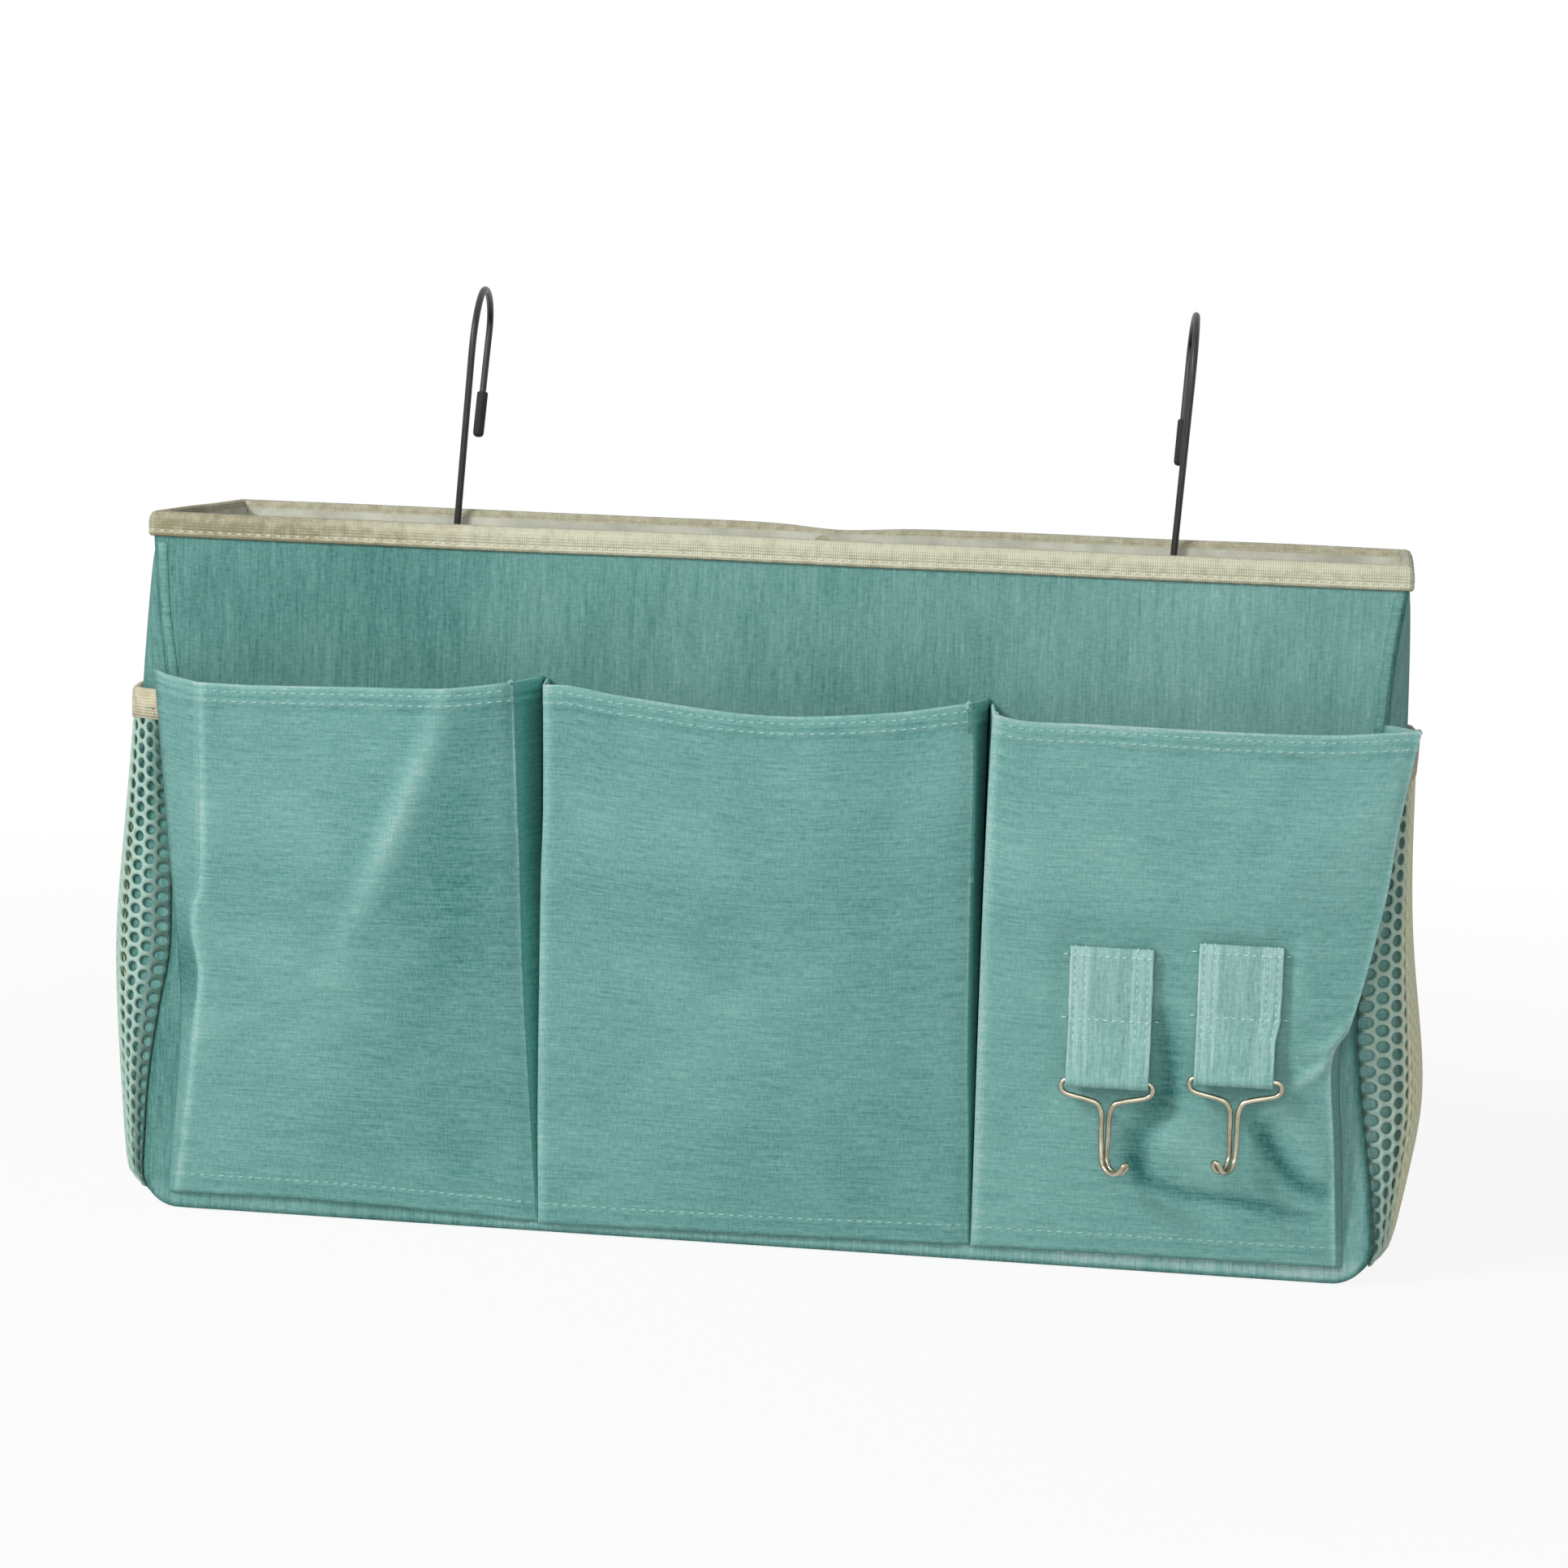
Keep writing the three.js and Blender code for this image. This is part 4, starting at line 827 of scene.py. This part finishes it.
def draw_pocket(side):
    """Rows of a pocket's places, wear and freshness, from seam to seam, with the hem turned in."""
    places, worn_and_painted_light, pleat_light_rows = [], [], []
    mouth = pocket_mouths[side]
    for z_row, inset in [(z, 0) for z in pocket_rows] + [(pocket_top + up, inset) for up, inset in hem_turn]:
        z_flat = min(z_row, pocket_top)
        share = (z_flat - pocket_bottom) / (pocket_top - pocket_bottom)
        front = face_y(z_flat)
        path, face_left, face_right = pocket_path(side, z_flat)
        row, row_light_and_wear, row_pleat_light = [], [], []
        for i, spot in enumerate(path):
            before, after = path[max(i - 1, 0)], path[min(i + 1, len(path) - 1)]
            inward = Vector((before.y - after.y, after.x - before.x)).normalized()
            x_share = (spot.x - face_left) / (face_right - face_left)
            across = min(max(2 * x_share - 1, -1), 1)
            on_front = abs(across) < 1
            x_in = 1 - across * across
            foot = pocket_foot(spot.x)
            z = z_row + (foot - pocket_bottom) * (1 - share) + (mouth(spot.x) - pocket_top) * share
            forward = (spot.y - seat_y) / (front - seat_y)
            spot = spot + inward * inset
            spot.y += (face_y(z) - front) * forward

            # The belly, the folds and the small dents of slack cloth.
            above_foot = z_flat - pocket_bottom
            out = pocket_bellies[side] * x_in * math.sin(math.pi * min(share, 0.97)) ** 0.8
            painted_shading_and_wear = 0
            for points, reach, height, roundness, painted_shading in pocket_folds[side]:
                fold = ridge(spot.x, z_flat, points, reach, roundness)
                fold *= ease(0, 0.05, 1 - abs(across)) * ease(0, 8, above_foot)
                out += height * fold
                painted_shading_and_wear += painted_shading * fold
            out += 0.5 * noise(Vector((spot.x / 28, z_flat / 34, face_left))) * x_in * ease(0, 15, above_foot)
            out += 0.22 * noise(Vector((spot.x / 9, z_flat / 13, face_left))) * ease(0, 0.1, x_in)
            # The cloth can't swell where the straps are sewn on.
            sewn = ease(90, 95, spot.x) * ease(164, 159, spot.x)
            sewn *= ease(53, 58, z_flat) * ease(110, 104, z_flat)
            out = min(out, out * (1 - sewn))
            # It falls back at both edges, stands out at the hem and is drawn in along the seams.
            out -= 0.3 * bump_at(spot.x, face_left, 2.2) * on_front
            out -= edge_falls[side] * bump_at(spot.x, face_right, 3.2) * on_front
            out += 0.3 * ease(162, 162.6, z_flat)
            # Each seam also gets a painted highlight on it and painted shade just below it.
            for seam in pocket_seams:
                groove = bump_at(z_flat, seam, 0.6)
                out -= 0.12 * groove
                painted_shading_and_wear += 0.2 * groove - 0.2 * bump_at(z_flat, seam - 1.5, 0.7)
            row.append(Vector((spot.x, spot.y - out, z)))

            # Painted highlights lie along its edges and its mouth, partly wear, and painted shade lies in the
            # hollow beside the left pocket's outer edge.
            on_left_edge = bump_at(spot.x, face_left + 0.9, 1.4) * (forward > 0.9)
            on_right_edge = bump_at(spot.x, face_right - 0.4, 0.8) * (forward > 0.97)
            on_mouth = bump_at(z_flat, pocket_top, 0.8)
            hollow_shade = (side == "left") * (across == -1) * bump_at(z_flat, 78, 16)
            row_light_and_wear.append(pocket_tones[side] + 0.5 * on_left_edge + edge_highlights[side] * on_right_edge
                            + 0.5 * on_mouth + painted_shading_and_wear - 0.65 * hollow_shade)
            # Painted bounce light inside the pleats.
            in_left_pleat = i < pleat_steps and side != "left"
            in_right_pleat = i >= len(path) - pleat_steps and side != "right"
            row_pleat_light.append(float(in_left_pleat or in_right_pleat))
        places.append(row)
        worn_and_painted_light.append(row_light_and_wear)
        pleat_light_rows.append(row_pleat_light)
    return places, worn_and_painted_light, pleat_light_rows


# A row has seven places up each pleat and five round each edge, and the seams run between them.
pleat_steps = 7
front_places = slice(pleat_steps + 5, -pleat_steps - 5)
face_shares = [0.006, 0.014, 0.024] + [0.024 + 0.952 * k / 62 for k in range(1, 62)] + [0.976, 0.986, 0.994]
teal_across = slub_cloth("teal_cloth_across", linear(88, 139, 134), linear(131, 178, 172),
                         slubs_along_v=False, streaky=0.13)
teal_thread = plain_finish("teal_thread", linear(138, 180, 173), linear(160, 198, 190), 0.75, 900.0)
for side in ("left", "middle", "right"):
    places, worn_and_painted_light, pleat_light_rows = draw_pocket(side)
    pocket = finish_piece(f"{side}_pocket_cloth", draw_strip(places, worn_and_painted_light=worn_and_painted_light, pleat_light_rows=pleat_light_rows), teal_across)
    thicken(pocket, 0.9)
    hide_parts(f"{side}_front_pocket")
    runs = [[(place, Vector((0, -1, 0.15))) for place in places[pocket_rows.index(seam)][front_places]]
            for seam in pocket_seams]
    sew(f"{side}_pocket_stitches", runs, teal_thread, stitch=2.4, half_thread=0.28)


# Net pockets: knitted polyester net with six-sided holes, sewn into the seams of each side wall.
# A taped mouth with elastic in it draws each net up, and the net stands off the wall because it is cut wider.
net_out = {
    -1: smooth_through((7, 1), (14, 2), (30, 2.8), (67, 2.3), (85, 2.2), (121, 1.5), (149, 0.9), (170, 0.6)),
    1: smooth_through((7, 0.2), (14, 1.5), (25, 2.6), (42, 3.1), (54, 3.1), (77, 2), (113, 1.4), (135, 1.2),
                      (170, 1.2)),
}
net_foot = 12.5
net_top_length = corner_length + 153.6 - corner_radius
tape_top = corner_length + 159 - corner_radius
net_cells = {"left": (6.1, 4.5), "right": (6.93, 4.85)}
thread_width = 1.95


def side_place(sign, length, y, out):
    """Place out from a side wall, at a length up it from the base and a place across it."""
    z = corner_radius + length - corner_length
    x = half_width
    way = Vector((1, 0))
    if length < corner_length:
        angle = length / corner_radius
        way = Vector((math.sin(angle), -math.cos(angle)))
        x, z = Vector((corner_start, corner_radius)) + way * corner_radius
    deep = y / half_depth
    x += bowed(sign, length, y) - seam_draw(sign, z, deep) * (x / half_width) ** 2
    return Vector((sign * (x + way.x * out), y, z + way.y * out))


def net_stand(sign, length, y):
    """How far a net stands out from its wall."""
    return 0.6 + net_out[sign](length) * across_share(y)


def net_finish(name, unshaded_from):
    """Cream polyester thread with painted shade that is darkest at the front seam and a painted teal cast
    near the front, and its own cream colour from a depth on.
    """
    knit = plain_finish(name, linear(216, 217, 182), linear(235, 234, 203), 0.8, 700.0)
    place = add_node(knit, "ShaderNodeTexCoord")
    parts = add_node(knit, "ShaderNodeSeparateXYZ")
    depth = add_node(knit, "ShaderNodeMapRange", From_Min=-0.0495, From_Max=unshaded_from)
    # Painted shade, darkest at the front seam, and a painted teal cast near the front, multiplied into the
    # thread's colour.
    painted_seam_shade = colour_ramp(knit, (0.04, (0.06, 0.14, 0.16, 1)), (1, (1, 1, 1, 1)), (0.1, (0.45, 0.65, 0.8, 1)),
                       (0.5, (0.56, 0.73, 0.86, 1)))
    mix = add_node(knit, "ShaderNodeMix", data_type="RGBA", blend_type="MULTIPLY")
    mix.inputs["Factor"].default_value = 1
    colour = knit.node_tree.nodes["Principled BSDF"].inputs["Base Color"]
    join(knit, place.outputs["Object"], parts.inputs[0])
    join(knit, parts.outputs["Y"], depth.inputs["Value"])
    join(knit, depth.outputs[0], painted_seam_shade.inputs[0])
    join(knit, colour.links[0].from_socket, mix.inputs[6])
    join(knit, painted_seam_shade.outputs[0], mix.inputs[7])
    join(knit, mix.outputs[2], colour)
    return knit


def girth_to_y(sign, length, half_span):
    """Half the way round a net at a length up it, and the place across the wall for each way along it."""
    steps = 197
    ways = [(0.0, -half_span)]
    place = side_place(sign, length, -half_span, net_stand(sign, length, -half_span))
    for k in range(1, steps + 1):
        y = -half_span + 2 * half_span * k / steps
        step = side_place(sign, length, y, net_stand(sign, length, y)) - place
        place += step
        ways.append((ways[-1][0] + step.length, y))
    half_girth = ways[-1][0] / 2
    return half_girth, smooth_through(*((way - half_girth, y) for way, y in ways))


def mouth_strip(sign, section, half_span, steps, pucker=0):
    """A strip along a net's mouth, from pairs of how far out and how far below the tape's top."""
    rows = []
    for out, drop in section:
        length = tape_top - drop
        row = []
        for k in range(steps + 1):
            y = -half_span + 2 * half_span * k / steps
            gather = pucker * math.sin(2 * math.pi * y / 3.1 + noise(Vector((y / 6, 1.3, sign))) * 5)
            gather *= ease(9, 0, drop)
            row.append(side_place(sign, length, y, net_stand(sign, length, y) + out + gather))
        rows.append(row if sign > 0 else row[::-1])
    return draw_strip(rows)


net_threads = {"left": net_finish("left_net_thread", -0.014), "right": net_finish("right_net_thread", -0.037)}
net_tape_cloth = bound_tape("net_tape_cloth", linear(172, 162, 132), linear(206, 198, 170), 0.6)
white_elastic = bound_tape("white_elastic", linear(205, 202, 190), linear(236, 234, 224), 0.5)
tape_folds = [(-0.45, 9), (-0.6, 5), (-0.6, 1), (-0.3, 0.1), (0.4, -0.1), (1.1, 0.1), (1.4, 1), (1.4, 5),
              (1.25, 9)]
elastic_edges = [(0.4, drop) for drop in (0.9, 2, 3.2, 4.4, 5.3)]
for side, sign in (("left", -1), ("right", 1)):
    half_girth, y_along = girth_to_y(sign, 80, 49.2)
    cell_width, cell_height = net_cells[side]
    cell_size = Matrix.Diagonal((cell_width / 2, cell_height / 2 / math.sin(math.pi / 3), 1, 1))
    shape = bmesh.new()
    for i in range(-15, 16):
        for j in range(-1, 37):
            spot = Vector((i * cell_width * 0.75, net_foot + (j + 0.5 * (i % 2)) * cell_height, 0))
            cell = Matrix.Translation(spot) @ cell_size @ Matrix.Rotation(math.pi / 2, 4, "Z")
            bmesh.ops.create_circle(shape, cap_ends=True, radius=1, segments=6, matrix=cell)
    bmesh.ops.remove_doubles(shape, verts=shape.verts, dist=0.05)
    for point, way in (((-half_girth, 0, 0), (-1, 0, 0)), ((half_girth, 0, 0), (1, 0, 0)),
                       ((0, net_foot, 0), (0, -1, 0)), ((0, net_top_length, 0), (0, 1, 0))):
        bmesh.ops.bisect_plane(shape, geom=shape.verts[:] + shape.edges[:] + shape.faces[:], plane_co=point,
                               plane_no=way, clear_outer=True)
    for vert in shape.verts:
        y, length = y_along(vert.co.x), vert.co.y
        sewn = ease(49.4, 46.5, abs(y)) * ease(net_foot - 0.5, net_foot + 5, length)
        vert.co = side_place(sign, length, y, (net_stand(sign, length, y) + 0.5) * sewn)
    bmesh.ops.recalc_face_normals(shape, faces=shape.faces)
    bmesh.ops.wireframe(shape, faces=shape.faces, thickness=thread_width, use_replace=True,
                        use_boundary=False, use_even_offset=False)
    net = finish_piece(f"{side}_net", shape, net_threads[side])
    rounding = net.modifiers.new("rounding", "SUBSURF")
    rounding.levels = rounding.render_levels = 1
    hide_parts(f"{side}_net_pocket")

    strip = mouth_strip(sign, tape_folds, 48.4, 96, pucker=0.35)
    mouth_tape = finish_piece(f"{side}_net_mouth_tape", strip, net_tape_cloth)
    thicken(mouth_tape, 0.5, offset=0)
    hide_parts(f"{side}_net_tape")

    strip = mouth_strip(sign, elastic_edges, 48.3, 60)
    band = finish_piece(f"{side}_mouth_elastic", strip, white_elastic)
    thicken(band, 0.6, offset=0)
    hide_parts(f"{side}_net_elastic")


# Straps: two short lengths of the wall cloth, folded round the key hooks' bars and sewn to the right pocket.
# Both long edges are turned in and stitched down, and two rows of stitches cross each strap.
# The strap cloth is a paler copy of the wall cloth: painted light on the straps.
lit_strap_cloth = slub_cloth("teal_cloth_strap_painted_lit", linear(112, 158, 153), linear(164, 202, 197), slubs_along_v=True)
strap_width = 24.4
strap_columns = 48
strap_sewn = 22
fold_radius = 1.65
fold_turn = math.radians(230)
strap_seams = (1.5, 4.4)
strap_kinks = {"left": 0, "right": 1.3}
strap_thread = plain_finish("strap_thread", linear(170, 206, 200), linear(196, 222, 216), 0.7, 900.0)
straps = {"left": (108.2, 99.4, -64.969, 59.15), "right": (145.8, 102.2, -65.409, 61.95)}
for side, (x_middle, top, bar_y, bar_z) in straps.items():
    # Seen from the side: down the pocket to the bar, round below it and up again in front.
    low = top - strap_sewn
    back_top, back_low = face_y(top) - 0.8, face_y(low) - 0.8
    front_top, front_low = back_top - 1.15, back_low - 1.15
    line = [(back_top + (back_low - back_top) * k / 8, top - strap_sewn * k / 8) for k in range(9)]
    line += [(back_low + (bar_y + fold_radius - back_low) * k / 5, low + (bar_z - low) * k / 5)
             for k in range(1, 5)]
    line += [(bar_y + fold_radius * math.cos(a), bar_z + fold_radius * math.sin(a))
             for a in [-fold_turn * k / 8 for k in range(9)]]
    front_start = len(line)
    fold_y, fold_z = line[-1]
    line += [(fold_y + (front_low + 0.2 - fold_y) * math.sin(math.pi / 2 * k / 5),
              fold_z + (low - fold_z) * k / 5) for k in range(1, 5)]
    line += [(front_low + (front_top - front_low) * k / 8, low + strap_sewn * k / 8) for k in range(9)]
    rows, worn_and_painted_light = [], []
    for i, (y, z) in enumerate(line):
        row, row_light_and_wear = [], []
        in_front = i >= front_start
        for k in range(strap_columns + 1):
            across = 2 * k / strap_columns - 1
            inward = (1 - abs(across)) * strap_width / 2
            x = x_middle + strap_width / 2 * across
            x += 0.25 * noise(Vector((z / 5, x_middle, across))) * (inward < 0.3)
            x -= strap_kinks[side] * ease(80, 74, z) * (across + 1) / 2
            groove = sum(bump_at(inward, seam, 0.35) for seam in strap_seams)
            hem = ease(6.2, 5.6, inward) * 0.22
            waver = 0.3 * noise(Vector((across * 2.2, z / 9, x_middle))) * ease(top - 22, top - 30, z)
            lift = (hem - 0.3 * groove - waver) * in_front * ease(bar_z + 3, bar_z + 8, z)
            row.append(Vector((x, y - lift, z)))
            # Its edges and hem bands are paler, painted shade lies in the stitch grooves, and the rest of its
            # front is a little darker.
            edge = bump_at(inward, 0, 0.5)
            row_light_and_wear.append((0.35 * edge - 0.3 * groove + 0.3 * ease(6.4, 5.4, inward) - 0.14) * in_front)
        rows.append(row)
        worn_and_painted_light.append(row_light_and_wear)
    strap = finish_piece(f"{side}_hook_strap", draw_strip(rows, worn_and_painted_light=worn_and_painted_light), lit_strap_cloth)
    thicken(strap, 0.9, offset=0)
    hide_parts(f"{side}_strap")

    # Two seams along each edge, and two rows across that run on over the pocket on both sides.
    proud, strap_out, pocket_out = Vector((0, -0.45, 0)), Vector((0, -1, 0.1)), Vector((0, -1, 0.15))
    front = range(front_start + 2, len(line))
    runs = []
    for seam in strap_seams:
        column = round(seam / strap_width * strap_columns)
        for k in (column, strap_columns - column):
            runs.append([(rows[i][k] + proud, strap_out) for i in front])
    for drop in (3.9, 21.6):
        crossed = rows[min(front, key=lambda i: abs(line[i][1] - (top - drop)))]
        z = crossed[0].z
        runs.append([(place + proud, strap_out) for place in crossed])
        for edge_x, sign in ((crossed[0].x, -1), (crossed[-1].x, 1)):
            runs.append([(Vector((edge_x + sign * (2.6 - 1.2 * k), face_y(z) - 0.15, z)), pocket_out)
                         for k in range(3)])
    sew(f"{side}_strap_stitches", runs, strap_thread, stitch=2.0, pitch=2.5, half_thread=0.26)


# Key hooks: one length of nickel-plated steel wire each, bent into a loop for the strap, a neck and a crook.
# The wire's ends meet inside the strap, and the crook's tip is a tight turn back on itself.
def draw_wire(name, points, radius, material, body):
    """Round wire along a smooth curve through points, in millimetres, with closed ends."""
    data = bpy.data.curves.new(name, "CURVE")
    data.dimensions = "3D"
    data.bevel_depth = radius * mm
    data.bevel_resolution = 5
    data.use_fill_caps = True
    path = data.splines.new("POLY")
    path.points.add(len(points) - 1)
    for spot, place in zip(path.points, points):
        spot.co = (*(place * mm), 1)
    path.use_smooth = True
    curve = bpy.data.objects.new(name, data)
    mesh = bpy.data.meshes.new_from_object(curve)
    mesh.name = name
    bpy.data.objects.remove(curve)
    return make_piece(name, mesh, material, body)


def smooth_line(points, steps):
    """Places on the centripetal curve through points."""
    ends = [points[0] * 2 - points[1]] + points + [points[-1] * 2 - points[-2]]
    line = []
    for i in range(1, len(ends) - 2):
        p = ends[i - 1:i + 3]
        knots = [0]
        for a, b in zip(p, p[1:]):
            knots.append(knots[-1] + math.sqrt(max((b - a).length, 1e-6)))
        for k in range(steps):
            t = knots[1] + (knots[2] - knots[1]) * k / steps

            def mix(a, b, start, end):
                return a * ((end - t) / (end - start)) + b * ((t - start) / (end - start))

            a1, a2, a3 = (mix(p[n], p[n + 1], knots[n], knots[n + 1]) for n in range(3))
            b1, b2 = mix(a1, a2, knots[0], knots[2]), mix(a2, a3, knots[1], knots[3])
            line.append(mix(b1, b2, knots[1], knots[2]))
    return line + [points[-1]]


hook_steel = plain_finish("hook_steel", linear(150, 144, 124), linear(186, 179, 158), 0.24, 260.0,
                          metallic=1.0, strength=0.08)
# Half of the hook in its own plane, from the middle of the bar by the shoulder and the neck to the stem.
key_bend = [(0.5, 0), (6.75, 0), (12.2, 0), (13.3, -0.9), (13.5, -1.925), (13.05, -3.25), (11.7, -4.1),
            (9.8, -4.6), (5.3, -5.6), (2.6, -6.6), (1.5, -8.4), (1.12, -10.6), (1.08, -15.45)]
stem_reach = 22.1
crook_radius, crook_gap, crook_turn = 4.5, 1.05, math.radians(148)
for side, turn in (("left", 50), ("right", -30)):
    x_middle, _, bar_y, bar_z = straps[side]
    bar = Vector((x_middle, bar_y, bar_z))
    angle = math.radians(turn)
    ahead = Vector((math.sin(angle), -math.cos(angle), 0))
    aside = Vector((math.cos(angle), math.sin(angle), 0))
    halves = []
    for sign in (-1, 1):
        half = [Vector((sign * x, 0, z)) for x, z in key_bend]
        for k in range(7):
            bend = crook_turn * k / 6
            half.append(ahead * crook_radius * (1 - math.cos(bend)) + aside * sign * crook_gap
                        + Vector((0, 0, -stem_reach - crook_radius * math.sin(bend))))
        halves.append(half)
    tip_way = Vector((0, 0, 1)) * -math.cos(crook_turn) + ahead * math.sin(crook_turn)
    tip_middle = (halves[0][-1] + halves[1][-1]) / 2 + tip_way * 0.4
    tip = [tip_middle - aside * crook_gap * math.cos(a) + tip_way * crook_gap * math.sin(a)
           for a in [math.pi * k / 6 for k in range(1, 6)]]
    points = [bar + point for point in halves[0] + tip + halves[1][::-1]]
    hook = draw_wire(f"{side}_wire_key_hook", smooth_line(points, 5), 0.8, hook_steel, f"{side}_key_hook")
    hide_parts(f"{side}_key_hook")


# Hangers: black-coated steel wire with a short crook at its foot, which is hooked through an eyelet.
# It goes straight up along the inside of the back wall, and is bent over the rail in a tall narrow arch.
black_coat = plain_finish("black_coat", linear(16, 16, 17), linear(34, 34, 35), 0.42, 320.0, strength=0.1)
hanger_x = {"left": -116.5, "right": 114}
hinge_y, hinge_z = 49.5, 190.9
hanger_axes = Matrix((
    (0.994985, -0.081803, 0.057564),
    (0.081939, 0.996637, 0),
    (-0.057370, 0.004717, 0.998342),
))


def hanger_place(side, y, z):
    """A place in a hanger's own plane, counted back and up from its hinge."""
    return Vector((hanger_x[side], hinge_y, hinge_z)) + hanger_axes @ Vector((0, y, z))


crook = 5.5
flare = math.radians(25)
tail = Vector((crook * math.cos(flare), -crook * math.sin(flare)))
tail_way = Vector((math.sin(flare), math.cos(flare)))
hanger_line = [tail + tail_way * 7, tail + tail_way * 3.5]
hanger_line += [Vector((crook * math.cos(a), crook * math.sin(a)))
                for a in [-flare - (math.pi - flare) * k / 10 for k in range(11)]]
hanger_line += [Vector((-crook, 72.5 * share)) for share in (0.1, 0.4, 0.7, 0.93)]
for k in range(13):
    a = math.pi * (1 - k / 12)
    rise = 21 if a > math.pi / 2 else 12
    hanger_line.append(Vector((14.5 + 20 * math.cos(a), 93.5 - rise + rise * math.sin(a))))
leg_top, leg_tip = Vector((34.5, 81.5)), Vector((28.5, 46.55))
hanger_line += [leg_top.lerp(leg_tip, share) for share in (0.35, 0.6, 0.8, 1)]
for side in ("left", "right"):
    points = smooth_line([hanger_place(side, *spot) for spot in hanger_line], 5)
    wire = draw_wire(f"{side}_wire_hanger", points, 1.1, black_coat, f"{side}_hanger")
    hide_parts(f"{side}_hanger")


# Sleeves: short lengths of matt black rubber tube with a closed round end, pushed over the hanger tips.
# Each is open at its upper end, where the wire goes in.
def turned_shape(outline, axis, steps, closed=False):
    """A shape turned round an axis from an outline in the plane that holds the axis and X."""
    shape = bmesh.new()
    verts = [shape.verts.new(place) for place in outline]
    ends = verts[1:] + verts[:1] if closed else verts[1:]
    edges = [shape.edges.new(pair) for pair in zip(verts, ends)]
    bmesh.ops.spin(shape, geom=verts + edges, cent=(0, 0, 0), axis=axis, angle=2 * math.pi, steps=steps,
                   use_merge=True)
    bmesh.ops.remove_doubles(shape, verts=shape.verts, dist=0.001)
    bmesh.ops.recalc_face_normals(shape, faces=shape.faces)
    return shape


matt_rubber = plain_finish("matt_rubber", linear(14, 14, 14), linear(30, 30, 30), 0.75, 500.0, strength=0.25)
sleeve_outline = [(0, 0), (0.7, 0.06), (1.25, 0.28), (1.62, 0.7), (1.8, 1.4), (1.8, 8), (1.8, 14.4),
                  (1.72, 14.85), (1.5, 15), (1.35, 14.85), (1.35, 14), (1.35, 1.3), (0.6, 1.2), (0, 1.2)]
leg_up = (leg_top - leg_tip).normalized()
for side in ("left", "right"):
    shape = turned_shape([(x, 0, z) for x, z in sleeve_outline], (0, 0, 1), 24)
    axis = (hanger_axes @ Vector((0, *leg_up))).normalized()
    lean = Vector((0, 0, 1)).rotation_difference(axis).to_matrix().to_4x4()
    foot = hanger_place(side, *(leg_tip - leg_up * 1.45))
    bmesh.ops.transform(shape, verts=shape.verts, matrix=Matrix.Translation(foot) @ lean)
    sleeve = finish_piece(f"{side}_tip_sleeve", shape, matt_rubber, f"{side}_hanger")
    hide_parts(f"{side}_hanger_sleeve")


# Eyelets and washers: pressed nickel-plated rings that line the two holes in the back wall.
# The barrel is rolled over a washer on the inside.
nickel = plain_finish("nickel", linear(168, 166, 160), linear(206, 204, 198), 0.3, 240.0, metallic=1.0,
                      strength=0.06)
hole_z = 186
ring_outlines = {
    "eyelet": [(4.0, 45.7), (4.3, 45.52), (5.2, 45.5), (5.6, 45.7), (5.55, 45.95), (4.55, 45.98), (4.5, 46.5),
               (4.5, 49.6), (4.8, 49.78), (7.6, 49.8), (8, 50.0), (7.8, 50.32), (6.4, 50.55), (4.8, 50.5),
               (4.15, 50.2), (4.0, 49.6)],
    "washer": [(4.8, 46.05), (5.1, 46.0), (7.7, 46.0), (8, 46.2), (7.9, 46.55), (5.0, 46.58), (4.8, 46.4)],
}
for side in ("left", "right"):
    for ring, outline in ring_outlines.items():
        shape = turned_shape([(x, y, 0) for x, y in outline], (0, 1, 0), 40, closed=True)
        bmesh.ops.translate(shape, verts=shape.verts, vec=(hanger_x[side], 0, hole_z))
        piece = finish_piece(f"{side}_back_{ring}", shape, nickel)
        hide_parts(f"{side}_{ring}")
